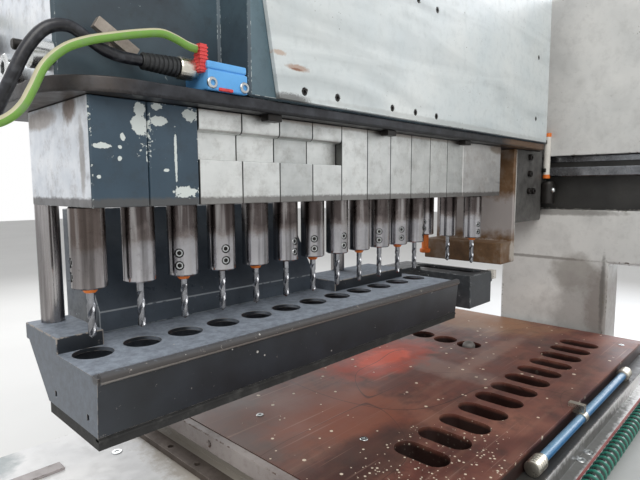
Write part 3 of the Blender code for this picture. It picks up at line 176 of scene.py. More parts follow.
black_sheath = sheath("black_pvc_sheath", "#1A1C24", "#12131A", 0.3)
# The earth wire's pale side is its yellow painted pale as a highlight along its lit side; the stripe colour
# is its green.
earth_sheath = sheath("green_yellow_pvc_sheath", "#C2BE9E", "#6F9B42", 0.4)

# %% The two leads
CABLE_ROUTE = (
    (11.8, -50.0, 417.0), (5.6, -50.0, 417.0), (-0.8, -50.0, 417.3), (-7.5, -50.0, 419.0),
    (-15.0, -50.0, 422.8), (-24.0, -50.0, 426.8), (-33.5, -49.0, 424.0), (-41.5, -47.0, 414.0),
    (-48.0, -44.0, 399.5), (-53.5, -38.0, 385.0), (-56.5, -27.0, 375.0), (-57.5, -12.0, 371.5),
    (-57.5, 6.0, 376.0), (-57.8, 24.0, 388.0), (-58.0, 40.0, 405.0), (-56.5, 54.0, 421.5),
    (-53.0, 63.5, 434.0), (-47.0, 66.8, 439.2), (-40.0, 67.0, 440.0), (-32.5, 67.0, 440.0),
)
EARTH_ROUTE = (
    (46.2, -56.0, 427.5), (41.0, -56.0, 427.7), (35.5, -55.9, 428.8), (29.0, -55.7, 430.8),
    (21.0, -55.5, 431.8), (9.0, -55.5, 429.0), (-6.0, -56.0, 424.3), (-18.0, -56.5, 420.0),
    (-28.5, -56.0, 414.5), (-37.0, -55.0, 405.8), (-42.5, -55.0, 395.0), (-47.0, -54.0, 386.5),
    (-53.0, -51.5, 380.5), (-59.5, -45.0, 378.0), (-63.5, -33.0, 379.5), (-64.5, -16.0, 384.5),
    (-64.5, 2.0, 396.0), (-64.0, 20.0, 412.0), (-62.0, 39.0, 431.0), (-58.5, 57.0, 446.5),
    (-53.0, 71.0, 455.0), (-46.0, 78.5, 457.7), (-39.5, 80.0, 458.0), (-32.5, 80.0, 458.0),
)
STEPS_BETWEEN = 8


def smooth(points):
    """Points on a smooth curve through the given ones (Catmull-Rom)."""
    padded = [points[0], *points, points[-1]]
    curve = []
    for before, here, after, last in zip(padded, padded[1:], padded[2:], padded[3:]):
        for k in range(STEPS_BETWEEN):
            t = k / STEPS_BETWEEN
            curve.append(0.5 * (2 * here + (after - before) * t
                                + (2 * before - 5 * here + 4 * after - last) * t * t
                                + (3 * here - before - 3 * after + last) * t ** 3))
    return curve + [points[-1]]


def lead(name, route, diameter, sheath_material):
    """A lead as a round curve, in place of its plain solid."""
    line = smooth([in_line(*point) for point in route])
    curve = bpy.data.curves.new(name, "CURVE")
    curve.dimensions = "3D"
    curve.bevel_depth = diameter / 2 * MM
    curve.bevel_resolution = 5
    curve.use_fill_caps = True
    spline = curve.splines.new("POLY")
    spline.points.add(len(line) - 1)
    for point, place in zip(spline.points, line):
        point.co = (*place, 1)
    curve.materials.append(sheath_material)
    piece = bpy.data.objects.new(f"{name}_sheath", curve)
    bpy.context.scene.collection.objects.link(piece)
    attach(piece, "head")
    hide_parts(name)
    return piece


lead("sensor_cable", CABLE_ROUTE, 6.0, black_sheath)
lead("earth_wire", EARTH_ROUTE, 4.5, earth_sheath)

# %% [markdown]
# The station stands on a pale floor in soft light. The world lights it evenly; a large lamp high on the
# left and a second one from behind on the right draw the soft highlights that show which surfaces are
# round. Rays that come from the camera, or off metal, see plain white.

# %% Floor and lights
FLOOR_SIZE = 6.0
SHADE_STRENGTH = 0.45
floor_material, tree, shader, place = start("pale_matt_floor")
speckle = add(tree, "TexNoise", {"Vector": place, "Scale": size(300), "Detail": 3})
pale = add(tree, "ValToRGB", {"Fac": speckle}, stops=[(0.3, "#EDEDEC"), (0.7, "#F2F2F1")])
add(tree, shader, {"Base Color": pale, "Roughness": 0.9})
flooring = bmesh.new()
bmesh.ops.create_grid(flooring, x_segments=1, y_segments=1, size=FLOOR_SIZE)
floor_mesh = bpy.data.meshes.new("floor")
flooring.to_mesh(floor_mesh)
flooring.free()
floor_mesh.materials.append(floor_material)
floor = bpy.data.objects.new("floor", floor_mesh)
bpy.context.scene.collection.objects.link(floor)

world = bpy.data.worlds.new("white_studio")
bpy.context.scene.world = world
world.use_nodes = True
tree = world.node_tree
seen = add(tree, "LightPath")
plain = add(tree, "Math", {0: seen.outputs["Is Camera Ray"], 1: seen.outputs["Is Glossy Ray"]},
            operation="MAXIMUM")
through = add(tree, "Math", {0: plain, 1: seen.outputs["Is Transmission Ray"]}, operation="MAXIMUM")
strength = add(tree, "MapRange", {"Value": through, "To Min": SHADE_STRENGTH, "To Max": 1.0})
add(tree, tree.nodes["Background"], {"Color": (1.0, 1.0, 1.0, 1.0), "Strength": strength})
bpy.context.scene.view_settings.view_transform = "Standard"


def lamp(name, place, target, width, watts, colour):
    """A square soft lamp that looks at a target."""
    light = bpy.data.lights.new(name, "AREA")
    light.size = width
    light.energy = watts
    light.color = linear(colour)[:3]
    holder = bpy.data.objects.new(name, light)
    holder.location = place
    holder.rotation_euler = (target - place).to_track_quat("-Z", "Y").to_euler()
    bpy.context.scene.collection.objects.link(holder)


AIM = in_line(220, 0, 300)
lamp("key_lamp", in_line(-700, -1200, 1500), AIM, 1.2, 21, "#FFFDF8")
lamp("right_lamp", in_line(1500, -300, 900), AIM, 0.9, 12, "#F4F8FF")
lamp("back_lamp", in_line(300, 1400, 1100), AIM, 1.0, 9, "#FFFFFF")
print("floor, white world and three lamps made")

# %% [markdown]
# New pieces are made from a few shapes: a box, a flat outline pulled out to a thickness, and a turned
# profile spun about an axis. Sizes are in mm, and places count along the row as `in_line` does. A piece
# that needs holes has them cut out of it. Each one then gets clean outward faces, a finish, and a body to
# ride on.

# %% Helpers for shapes
def block(bm, x, y, z):
    """A box between two places on each axis, in mm along the row."""
    low, high = in_line(x[0], y[0], z[0]), in_line(x[1], y[1], z[1])
    shape = Matrix.Translation((low + high) / 2) @ Matrix.Diagonal((*(high - low), 1))
    bmesh.ops.create_cube(bm, size=1, matrix=shape)


def pulled(bm, outline, direction):
    """A flat outline of places, pulled out along a vector."""
    face = bm.faces.new([bm.verts.new(point) for point in outline])
    made = bmesh.ops.extrude_face_region(bm, geom=[face])["geom"]
    corners = [part for part in made if isinstance(part, bmesh.types.BMVert)]
    bmesh.ops.translate(bm, verts=corners, vec=direction)


def turned(bm, profile, place, axis="Z", sides=48):
    """A profile of (radius, height) in mm, spun about an axis through a place."""
    for face in bm.faces:
        face.tag = True
    verts = [bm.verts.new((radius * MM, 0, height * MM)) for radius, height in profile]
    edges = [bm.edges.new(pair) for pair in zip(verts, verts[1:])]
    bmesh.ops.spin(bm, geom=verts + edges, cent=(0, 0, 0), axis=(0, 0, 1), steps=sides, angle=math.tau,
                   use_merge=True)
    ring = {vert for face in bm.faces if not face.tag for vert in face.verts}
    way = {"X": (1, 0, 0), "Y": (0, 1, 0), "Z": (0, 0, 1), "-X": (-1, 0, 0), "-Y": (0, -1, 0)}[axis]
    turn = Vector((0, 0, 1)).rotation_difference(Vector(way)).to_matrix().to_4x4()
    bmesh.ops.transform(bm, matrix=Matrix.Translation(place) @ turn, verts=list(ring))
    bmesh.ops.remove_doubles(bm, verts=list(ring), dist=0.001 * MM)


def carved(bm, cutter):
    """The shape with the cutter's shape taken out of it, as a new bmesh."""
    holders = []
    for shape in (bm, cutter):
        bmesh.ops.recalc_face_normals(shape, faces=shape.faces)
        mesh = bpy.data.meshes.new("shape")
        shape.to_mesh(mesh)
        shape.free()
        holders.append(bpy.data.objects.new("shape", mesh))
        bpy.context.scene.collection.objects.link(holders[-1])
    cut = holders[0].modifiers.new("cut", "BOOLEAN")
    cut.operation = "DIFFERENCE"
    cut.solver = "EXACT"
    cut.object = holders[1]
    bpy.context.view_layer.update()
    result = bmesh.new()
    result.from_object(holders[0], bpy.context.evaluated_depsgraph_get())
    for holder in holders:
        mesh = holder.data
        bpy.data.objects.remove(holder)
        bpy.data.meshes.remove(mesh)
    return result


def rounded(bm, width, angle=30, segments=2):
    """Rounds the edges sharper than an angle, and marks the rounding, so that paint can wear there."""
    bmesh.ops.remove_doubles(bm, verts=bm.verts, dist=0.01 * MM)
    bmesh.ops.dissolve_limit(bm, angle_limit=math.radians(1), verts=bm.verts, edges=bm.edges)
    bmesh.ops.recalc_face_normals(bm, faces=bm.faces)
    sharp = [edge for edge in bm.edges if edge.is_manifold and edge.calc_face_angle() > math.radians(angle)]
    marks = bm.faces.layers.float.new("edge")
    made = bmesh.ops.bevel(bm, geom=sharp, offset=width * MM, segments=segments, profile=0.5, affect="EDGES",
                           clamp_overlap=True, material=-1)
    for face in made["faces"]:
        face[marks] = 1.0


def finished(name, bm, body, materials, replaced=(), smooth_angle=35):
    """Turns a bmesh into a finished piece: clean, facing outward, riding on its body."""
    bmesh.ops.remove_doubles(bm, verts=bm.verts, dist=0.002 * MM)
    bmesh.ops.recalc_face_normals(bm, faces=bm.faces)
    mesh = bpy.data.meshes.new(name)
    bm.to_mesh(mesh)
    bm.free()
    mesh.shade_smooth()
    mesh.set_sharp_from_angle(angle=math.radians(smooth_angle))
    for material in materials if isinstance(materials, (list, tuple)) else [materials]:
        mesh.materials.append(material)
    piece = bpy.data.objects.new(name, mesh)
    bpy.context.scene.collection.objects.link(piece)
    even = piece.modifiers.new("even_shading", "WEIGHTED_NORMAL")
    even.keep_sharp = True
    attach(piece, body)
    if replaced:
        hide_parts(*replaced)
    return piece


def bars(name, boxes, width, body, material):
    """Boxes as one piece, each given by its spans along, across and up in mm, with rounded edges."""
    bm = bmesh.new()
    for box in boxes:
        block(bm, *box)
    if width:
        rounded(bm, width)
    return finished(name, bm, body, material)


def spun(name, profile, place, axis, sides, body, material, replaced=(), smooth_angle=35):
    """One turned profile as a piece."""
    bm = bmesh.new()
    turned(bm, profile, place, axis, sides)
    return finished(name, bm, body, material, replaced, smooth_angle)


def dressed(node, body, material, width=0.6):
    """A solid with its edges rounded, in place of the sharp one."""
    bm = bmesh.new()
    bm.from_mesh(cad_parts[node].data)
    rounded(bm, width)
    for face in bm.faces:
        face.material_index = 0
    return finished(f"{node}_finish", bm, body, material, [node])


print("helpers ready")

# %% [markdown]
# Stains, rubbed places and spilt dust have places of their own. Each is a patch: the distance from its
# middle, measured in half widths, with a noise added so that its rim is ragged.

# %% Patches
def patch(tree, place, centre, across, amount=1.0, grain_mm=12.0):
    """`amount` inside a patch and 0 outside, centre and widths in mm. An axis with no width is left free."""
    squeeze = tuple(2 / (width * MM) if width else 0.0 for width in across)
    near = add(tree, "VectorMath", {0: place, 1: tuple(in_line(*centre))}, operation="SUBTRACT")
    shape = add(tree, "VectorMath", {0: near, 1: squeeze}, operation="MULTIPLY")
    reach = add(tree, "VectorMath", {0: shape}, operation="LENGTH")
    ragged = add(tree, "TexNoise", {"Vector": place, "Scale": size(grain_mm), "Detail": 7, "Roughness": 0.65})
    rim = add(tree, "Math", {0: reach.outputs["Value"], 1: ragged})
    return add(tree, "MapRange", {"Value": rim, "From Min": 1.5, "From Max": 1.1, "To Max": amount})


def patches(tree, place, marks):
    """Layers of tint from marks, each given as (centre, widths, colour, amount, grain)."""
    return [(patch(tree, place, centre, across, amount, grain_mm), tint)
            for centre, across, tint, amount, grain_mm in marks]


print("patches ready")

# %% [markdown]
# Paint on a machine tool is a two-part enamel: an even colour with a soft gloss. Years of knocks chip it
# down to the pale primer, first of all along its edges. Chips gather in clumps, so a fine noise is cut off
# at a level that a coarse noise raises and lowers, and that a marked edge raises a good deal. Larger chips
# and runs of spilt primer have places of their own. A last noise dulls the gloss where hands and oil have
# been.

# %% Enamel
def enamel(name, dark, light, chip, chips=0.3, wear=0.5, spot_mm=3.0, dirt=0.3, dirt_colour="#2A2723",
           roughness=0.42, splashes=(), stains=(), wipes=0.0):
    """Painted metal. Splashes are chips at (x, z, width, height) in mm on a face towards the front. Stains
    are patches: (centre, widths, colour, amount, grain). Wipes are long soft smears from a cloth."""
    material, tree, shader, place = start(name)
    broad = add(tree, "TexNoise", {"Vector": place, "Scale": size(55), "Detail": 5})
    tone = add(tree, "ValToRGB", {"Fac": broad}, stops=[(0.32, dark), (0.68, light)])
    grime = add(tree, "TexNoise", {"Vector": place, "Scale": size(9), "Detail": 9, "Roughness": 0.7})
    soiled = add(tree, "MapRange", {"Value": grime, "From Min": 0.5, "From Max": 0.75, "To Max": dirt})
    swept = add(tree, "Mapping", {"Vector": place, "Rotation": (0, 0.35, 0), "Scale": (0.16, 1, 1)})
    smears = add(tree, "TexNoise", {"Vector": swept, "Scale": size(26), "Detail": 6, "Distortion": 0.6})
    smeared = add(tree, "MapRange", {"Value": smears, "From Min": 0.48, "From Max": 0.72, "To Max": wipes})
    layers = [(soiled, dirt_colour), (smeared, dirt_colour)] + patches(tree, place, stains)
    clumps = add(tree, "TexNoise", {"Vector": place, "Scale": size(24), "Detail": 2})
    spots = add(tree, "TexNoise", {"Vector": place, "Scale": size(spot_mm), "Detail": 8, "Roughness": 0.62})
    level = add(tree, "Math", {0: clumps, 1: 0.5, 2: spots}, operation="MULTIPLY_ADD")
    edge = add(tree, "Attribute", attribute_name="edge")
    level = add(tree, "Math", {0: edge.outputs["Fac"], 1: wear * 0.4, 2: level}, operation="MULTIPLY_ADD")
    for x, z, width, height in splashes:
        # Chips of a chosen size and place: the level rises towards the splash's middle
        centre = in_line(x, 0, z)
        near = add(tree, "VectorMath", {0: place, 1: (centre.x, 0, centre.z)}, operation="SUBTRACT")
        shape = add(tree, "VectorMath", {0: near, 1: (2 / width / MM, 0, 2 / height / MM)},
                    operation="MULTIPLY")
        reach = add(tree, "VectorMath", {0: shape}, operation="LENGTH")
        bump = add(tree, "MapRange", {"Value": reach.outputs["Value"], "From Min": 1.25, "From Max": 0.0,
                                      "To Max": 0.75})
        level = add(tree, "Math", {0: level, 1: bump})
    bare = add(tree, "MapRange", {"Value": level, "From Min": 1.05 - chips * 0.3,
                                  "From Max": 1.065 - chips * 0.3})
    gloss = add(tree, "MapRange", {"Value": grime, "From Min": 0.3, "From Max": 0.75,
                                   "To Min": roughness - 0.1, "To Max": roughness + 0.25})
    depth = add(tree, "Math", {0: bare, 1: -1.0}, operation="MULTIPLY")
    relief = add(tree, "Bump", {"Height": depth, "Strength": 0.6, "Distance": 0.15 * MM})
    colour = tinted(tree, tone, layers + [(bare, chip)])
    add(tree, shader, {"Base Color": colour, "Roughness": gloss, "Normal": relief})
    return material


# %% [markdown]
# Bare machined metal shows the path of the tool: fine parallel lines that draw its reflections out. A noise
# stretched along one direction gives the lines. Handling and coolant leave grey and brown stains on top,
# and each block of a row comes from another bar, so its tone shifts a little from one pitch to the next.

# %% Machined metal
def machined(name, dark, light, grain=(1, 1, 1), line_mm=0.6, roughness=0.35, stain="#5A4A3E", stains=0.4,
             shift=0.0, metallic=1.0, seams=0.0, marks=(), drawn=False):
    """Bare metal: `grain` is how far the lines are squeezed on each axis, `shift` the change of tone from one
    pitch to the next, `seams` the darkness of the joint between two pitches. Marks are patches, as in enamel.
    The clouds of a drawn bar are squeezed as its lines are."""
    material, tree, shader, place = start(name)
    stretched = add(tree, "Mapping", {"Vector": place, "Scale": grain})
    lines = add(tree, "TexNoise", {"Vector": stretched, "Scale": size(line_mm), "Detail": 3,
                                   "Roughness": 0.6})
    along = add(tree, "SeparateXYZ", {0: place})
    pitches = add(tree, "Math", {0: along.outputs["X"], 1: (PITCH / 2 - FIRST.x)})
    count = add(tree, "Math", {0: pitches, 1: PITCH}, operation="DIVIDE")
    bar = add(tree, "Math", {0: count}, operation="FLOOR")
    chance = add(tree, "TexWhiteNoise", {"W": bar}, noise_dimensions="1D")
    spread = stretched if drawn else place
    cloud = add(tree, "TexNoise", {"Vector": spread, "Scale": size(7 if drawn else 16), "Detail": 8,
                                   "Roughness": 0.62})
    mixed = add(tree, "Math", {0: chance, 1: shift, 2: cloud}, operation="MULTIPLY_ADD")
    tone = add(tree, "ValToRGB", {"Fac": mixed}, stops=[(0.3, dark), (0.7 + shift, light)])
    blots = add(tree, "TexNoise", {"Vector": spread, "Scale": size(5 if drawn else 11), "Detail": 9,
                                   "Roughness": 0.72})
    stained = add(tree, "MapRange", {"Value": blots, "From Min": 0.5, "From Max": 0.78, "To Max": stains})
    beside = add(tree, "Math", {0: count, 1: 0.5}, operation="PINGPONG")
    seam = add(tree, "MapRange", {"Value": beside, "From Min": 0.022, "From Max": 0.012, "To Max": seams})
    colour = tinted(tree, tone, [(stained, stain), (seam, "#1C1B1A"), *patches(tree, place, marks)])
    worn = add(tree, "Math", {0: lines, 1: blots})
    gloss = add(tree, "MapRange", {"Value": worn, "From Min": 0.6, "From Max": 1.4, "To Min": roughness - 0.1,
                                   "To Max": roughness + 0.18})
    relief = add(tree, "Bump", {"Height": lines, "Strength": 0.25, "Distance": 0.05 * MM})
    add(tree, shader, {"Base Color": colour, "Roughness": gloss, "Metallic": metallic, "Normal": relief})
    return material


zinc_steel = machined("zinc_plated_steel", "#A9ACAD", "#CED1D1", roughness=0.25, stains=0.25)
bright_zinc = machined("zinc_plated_steel_bright", "#C6C9CA", "#E6E8E8", roughness=0.22, stains=0.1)
black_oxide = machined("black_oxide_steel", "#1B1A19", "#2E2B29", roughness=0.4, stain="#3A2A20",
                       metallic=0.6)
oxide_enamel = enamel("black_edge_strip_paint", "#17181A", "#26282B", "#8B8D8E", chips=0.2, dirt=0.4,
                      roughness=0.35)
END_MARKS = (
    ((-15, -24, 392), (0, 22, 18), "#6B5340", 0.8, 10.0), ((-15, 20, 390), (0, 60, 14), "#8A7A6C", 0.6, 12.0),
    ((-15, 0, 342.0), (0, 0, 7), "#5A5654", 0.8, 4.0), ((-15, -38, 366), (0, 8, 50), "#8F8781", 0.6, 8.0),
)
bare_aluminium = machined("bare_aluminium_dirty", "#D2D8E0", "#EDF0F4", (1, 0.3, 0.3), 2.0, 0.42, "#6A5C54",
                          0.5, marks=END_MARKS)

# %% [markdown]
# The head is a stack: cylinder blocks below, a thick blackened base plate, and the gear housing on top with
# its white cover. The first two blocks are painted and badly chipped; the rest are bare aluminium, four
# with a stepped front and six flush ones. They keep the shape of their solids with the edges rounded.

# %% Head: blocks, plate, housing and cover
SPLASHES = (
    (11.4, 392.6, 8.2, 6.7), (10.7, 384.2, 9.0, 12.3), (-9.2, 371.8, 10.5, 3.2), (1.6, 376.8, 2.9, 4.3),
    (0.0, 371.5, 2.3, 2.2), (-0.3, 365.6, 2.3, 2.7), (-11.8, 355.8, 2.1, 2.1), (21.4, 394.6, 7.3, 4.0),
    (42.2, 391.9, 9.8, 8.7), (22.8, 386.9, 11.0, 5.4), (32.5, 367.6, 1.8, 36.0), (37.9, 347.9, 18.0, 7.5),
    (26.3, 360.1, 4.4, 2.3),
)
teal_enamel = enamel("dark_teal_enamel", "#293C4A", "#3B4E5D", "#C9D0CE", chips=0.3, wear=0.25, dirt=0.35,
                     spot_mm=2.4, splashes=SPLASHES, stains=[((0, 0, 341.5), (0, 0, 7.5), "#4C4B4A", 0.8,
                                                              3.0)])
housing_enamel = enamel("housing_enamel_dusty", "#2E373F", "#4A5C66", "#9AA3A4", chips=0.22, dirt=0.4,
                        roughness=0.38)
# A near-black band is painted across the housing's front at its right-hand edge, next to the black edge
# strip.
strip_enamel = enamel("light_teal_enamel", "#4A5D67", "#5E747E", "#A9B1B1", chips=0.2, dirt=0.3,
                      stains=[((563, -60, 480), (16, 0, 0), "#1C1E20", 1.0, 1.5)])
COVER_STAINS = (
    ((98.0, -64, 434.5), (13, 0, 4), "#A98465", 0.6, 1.6),
    ((114.0, -64, 427.5), (24, 0, 5), "#9A7153", 0.7, 1.6),
    ((113.0, -64, 426.5), (12, 0, 2), "#7A4A2E", 0.8, 1.2),
    ((108.0, -64, 407.0), (40, 0, 9), "#3E3C3A", 0.8, 1.0),
    ((340.0, -64, 409.0), (520, 0, 6), "#9A9D9A", 0.4, 6.0),
)
cover_enamel = enamel("cream_white_enamel", "#C6CFD2", "#D6DBDB", "#4A4238", chips=0.17, wear=0.3,
                      spot_mm=2.4, dirt=0.25, dirt_colour="#8A9294", roughness=0.34, stains=COVER_STAINS,
                      wipes=0.45)
BASE_MARKS = (
    ((-10, 0, 401), (60, 170, 0), "#4A413A", 0.5, 20.0),
    ((505, -60, 401), (150, 30, 0), "#7A5D44", 0.7, 16.0),
    # The third mark, a near-black band along the lower edge of the plate's front, is painted shade.
    ((250, -60, 398), (640, 0, 3), "#0E0E0F", 0.8, 3.0),
)
base_steel = machined("blackened_plate_steel", "#1D1D20", "#414348", (0.1, 1, 1), 1.2, 0.4, "#0F0F10", 0.8,
                      metallic=0.6, marks=BASE_MARKS)
FOOT_MARK = ((200, 0, 341.5), (0, 0, 7.5), "#5F5B58", 0.75, 3.0)
TOP_MARK = ((330, -44, 396.5), (760, 0, 6), "#8C8076", 0.6, 7.0)
END_STAIN = ((450, -44, 393), (50, 0, 12), "#7E6B58", 0.7, 9.0)
block_aluminium = machined("milled_aluminium", "#AEB1B0", "#D6D8D6", (0.05, 0.05, 1), 1.6, 0.42, "#7C766F",
                           0.5, shift=0.5, seams=0.85, marks=(FOOT_MARK, TOP_MARK))
end_aluminium = machined("milled_aluminium_end_block", "#BEBDBC", "#D8D8D6", (0.05, 0.05, 1), 1.6, 0.42,
                         "#8C7F76", 0.6, marks=(FOOT_MARK, END_STAIN))

MILLED_NODES = [f"cylinder_block_{k:02d}" for k in range(3, 7)] + ["cylinder_bank"]
first_block = dressed("cylinder_block_01", "head", teal_enamel)
dressed("cylinder_block_02", "head", teal_enamel)
for node in MILLED_NODES:
    dressed(node, "head", block_aluminium, 0.5)
dressed("end_block", "head", end_aluminium, 0.5)
dressed("base_plate", "head", base_steel, 0.8)
housing = dressed("housing", "head", housing_enamel, 0.8)
dressed("cover_plate", "head", cover_enamel, 0.4)

# %% [markdown]
# Paint stops at some faces of a solid: the head's left-hand end is bare, and a strip over the base plate
# has a lighter coat. A face takes another material by its normal and its place, so no new shape is needed.

# %% Bare and lighter faces, hangers and a black edge strip
BARE_BEFORE, STRIP_BEFORE = in_line(-15, 0, 0).x, in_line(0, -59, 0).y
first_block.data.materials.append(bare_aluminium)
housing.data.materials.append(bare_aluminium)
housing.data.materials.append(strip_enamel)
for piece in (first_block, housing):
    for face in piece.data.polygons:
        if face.normal.x < -0.9 and face.center.x < BARE_BEFORE:
            face.material_index = 1
for face in housing.data.polygons:
    if face.normal.y < -0.9 and face.center.y < STRIP_BEFORE:
        face.material_index = 2

HANGERS_AT = (99.7, 228.5, 359.8)
HANGERS = [((x - 6, x + 6), (-57.5, -50), (392.6, 397.3)) for x in HANGERS_AT]
# A black strip stands at the head's right-hand end; with the near-black band painted beside it on the
# housing, it makes the dark edge there.
BLACK_EDGE_STRIP = ((564.5, 572.5), (-58, -30), (406, 599))
bars("base_hangers", HANGERS, 0.6, "head", black_oxide)
bars("housing_black_edge_strip", [BLACK_EDGE_STRIP], 0.8, "head", oxide_enamel)
print("head dressed")

# %% [markdown]
# A boring spindle ends in a plain round chuck with two set screws, one above the other, that hold the
# drill's shank. The turned form is spun from its profile; the two holes are cut through its side, and each
# gets a screw with a hexagon socket. Coolant has stained the upper half brown, and the lower half is
# polished by hands. The drill is a flat two-fluted section, pulled up in small steps that turn it by its
# lead.

# %% Materials of the spindles
CHUCK_MARKS = (((0, 0, 315), (46, 46, 0), "#766A64", 0.55, 12),)


def chuck_finish():
    """Turned steel: fine rings, a brown upper half with a soft uneven border, small dark spots, and upright
    light and dark streaks painted round it as highlights and reflections.
    """
    material, tree, shader, place = start("turned_chuck_steel")
    axes = add(tree, "SeparateXYZ", {0: place})
    height = add(tree, "MapRange", {"Value": axes.outputs["Z"],
                                    "From Min": CHUCK_TOP - 0.62 * CHUCK_LENGTH * MM,
                                    "From Max": CHUCK_TOP - 0.32 * CHUCK_LENGTH * MM, "To Min": -0.35,
                                    "To Max": 0.35})
    cloud = add(tree, "TexNoise", {"Vector": place, "Scale": size(14), "Detail": 8, "Roughness": 0.6})
    border = add(tree, "Math", {0: height, 1: cloud})
    tone = add(tree, "ValToRGB", {"Fac": border}, stops=[(0.2, "#BBBABE"), (0.46, "#9D9A9B"),
                                                         (0.58, "#7C7472"), (0.85, "#585150")])
    rings = add(tree, "Mapping", {"Vector": place, "Scale": (0.02, 0.02, 1)})
    lines = add(tree, "TexNoise", {"Vector": rings, "Scale": size(0.7), "Detail": 3})
    spots = add(tree, "TexNoise", {"Vector": place, "Scale": size(2.2), "Detail": 7, "Roughness": 0.7})
    spotted = add(tree, "MapRange", {"Value": spots, "From Min": 0.6, "From Max": 0.72, "To Max": 0.6})
    # Upright light and dark streaks round the chuck are painted highlights and reflections of polished round
    # steel.
    upright_lines = add(tree, "Mapping", {"Vector": place, "Scale": (1, 1, 0.05)})
    streaks = add(tree, "TexNoise", {"Vector": upright_lines, "Scale": size(6), "Detail": 4})
    painted_dark_reflection = add(tree, "MapRange", {"Value": streaks, "From Min": 0.5, "From Max": 0.34, "To Max": 0.6})
    painted_highlight_streak = add(tree, "MapRange", {"Value": streaks, "From Min": 0.53, "From Max": 0.68,
                                           "To Max": 0.75})
    colour = tinted(tree, tone, [*patches(tree, place, CHUCK_MARKS), (painted_dark_reflection, "#2E2825"),
                                 (painted_highlight_streak, "#B4B1B0"), (spotted, "#3A302B")])
    gloss = add(tree, "MapRange", {"Value": border, "To Min": 0.14, "To Max": 0.3})
    relief = add(tree, "Bump", {"Height": lines, "Strength": 0.2, "Distance": 0.04 * MM})
    add(tree, shader, {"Base Color": colour, "Metallic": 1.0, "Roughness": gloss, "Normal": relief})
    return material


CHUCK_RADIUS, CHUCK_LENGTH, CHUCK_CHAMFER = 10.3, 49.4, 0.9
SHAFT_RADIUS, SHAFT_CHAMFER = 5.0, 0.6
MOUTH_RADIUS, FOOT_STEP = 4.4, 0.5
CHUCK_TOP = BLOCKS_FOOT - 0.6 * MM
CHUCK_BOTTOM = CHUCK_TOP - CHUCK_LENGTH * MM
SHAFT_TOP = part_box("spindle_01")[1].z
chuck_steel = chuck_finish()
drill_steel = machined("ground_tool_steel", "#6E6F73", "#A2A4A9", (1, 1, 0.3), 0.5, 0.2, "#4A4744", 0.5)
orange_plastic = enamel("orange_moulded_plastic", "#D9691E", "#EE8430", "#B5551A", chips=0.1, dirt=0.5,
                        roughness=0.45)

# %% Chucks with their set screws
SCREW_HEIGHTS = (8.0, 16.5)
SCREW_RADIUS, SCREW_SOCKET, SCREW_DEPTH, SCREW_RISE, SOCKET_DEPTH = 3.2, 1.65, 2.2, 1.5, 1.2
# How far each chuck is turned about its axis, in degrees
SCREWS_TURNED = (172, 10, 224, 253, 100, 278, 233, 262, 120, 217, 240, 285, 250, 120, 200)
SCREW_SEAT = CHUCK_RADIUS - SCREW_DEPTH


def in_circle(face, radius):
    """Whether a face's middle lies inside one of the two screw holes, seen along the holes."""
    spot = face.calc_center_median()
    return min(math.hypot(spot.y, spot.z - height * MM) for height in SCREW_HEIGHTS) < radius * MM


def chuck_shape():
    """A chuck on its shaft at the origin, its set screws towards +X."""
    bm = bmesh.new()
    rise = (SHAFT_TOP - CHUCK_BOTTOM) / MM
    neck = CHUCK_RADIUS - CHUCK_CHAMFER
    profile = [(0, 0), (MOUTH_RADIUS, 0), (MOUTH_RADIUS + FOOT_STEP, FOOT_STEP), (neck, FOOT_STEP),
               (CHUCK_RADIUS, FOOT_STEP + CHUCK_CHAMFER), (CHUCK_RADIUS, CHUCK_LENGTH - CHUCK_CHAMFER),
               (neck, CHUCK_LENGTH), (SHAFT_RADIUS, CHUCK_LENGTH), (SHAFT_RADIUS, rise - SHAFT_CHAMFER),
               (SHAFT_RADIUS - SHAFT_CHAMFER, rise), (0, rise)]
    turned(bm, profile, Vector(), sides=64)
    holes = bmesh.new()
    for height in SCREW_HEIGHTS:
        turned(holes, [(0, 0), (SCREW_RADIUS, 0), (SCREW_RADIUS, 6), (0, 6)],
               Vector((SCREW_SEAT, 0, height)) * MM, "X", 24)
    cut = carved(bm, holes)
    # The walls of the two holes take the black second material: painted shade in the gap round each set
    # screw.
    for face in cut.faces:
        face.material_index = int(face.calc_center_median().x > 0 and in_circle(face, SCREW_RADIUS + 0.02))
    return cut


def set_screws():
    """The two set screws of a chuck, each a disc with a hexagon socket and a chamfered rim."""
    bm, sockets = bmesh.new(), bmesh.new()
    for height in SCREW_HEIGHTS:
        turned(bm, [(0, 0), (SCREW_RADIUS - 0.55, 0), (SCREW_RADIUS - 0.55, 1.1),
                    (SCREW_RADIUS - 0.9, SCREW_RISE), (0, SCREW_RISE)],
               Vector((SCREW_SEAT, 0, height)) * MM, "X", 24)
        turned(sockets, [(0, 0), (SCREW_SOCKET, 0), (SCREW_SOCKET, 4), (0, 4)],
               Vector((SCREW_SEAT + SCREW_RISE - SOCKET_DEPTH, 0, height)) * MM, "X", 6)
    cut = carved(bm, sockets)
    # The walls and floor of each hexagon socket take the black second material as painted shade.
    for face in cut.faces:
        inside = SCREW_SEAT * MM < face.calc_center_median().x < (SCREW_SEAT + SCREW_RISE - 0.05) * MM
        face.material_index = int(inside and in_circle(face, SCREW_SOCKET))
    return cut


def placed(shape, degrees, place):
    """A copy of a bmesh, turned about the vertical and moved to a place."""
    bm = shape.copy()
    turn = Matrix.Rotation(math.radians(degrees), 4, "Z")
    bmesh.ops.transform(bm, matrix=Matrix.Translation(place) @ turn, verts=bm.verts)
    return bm


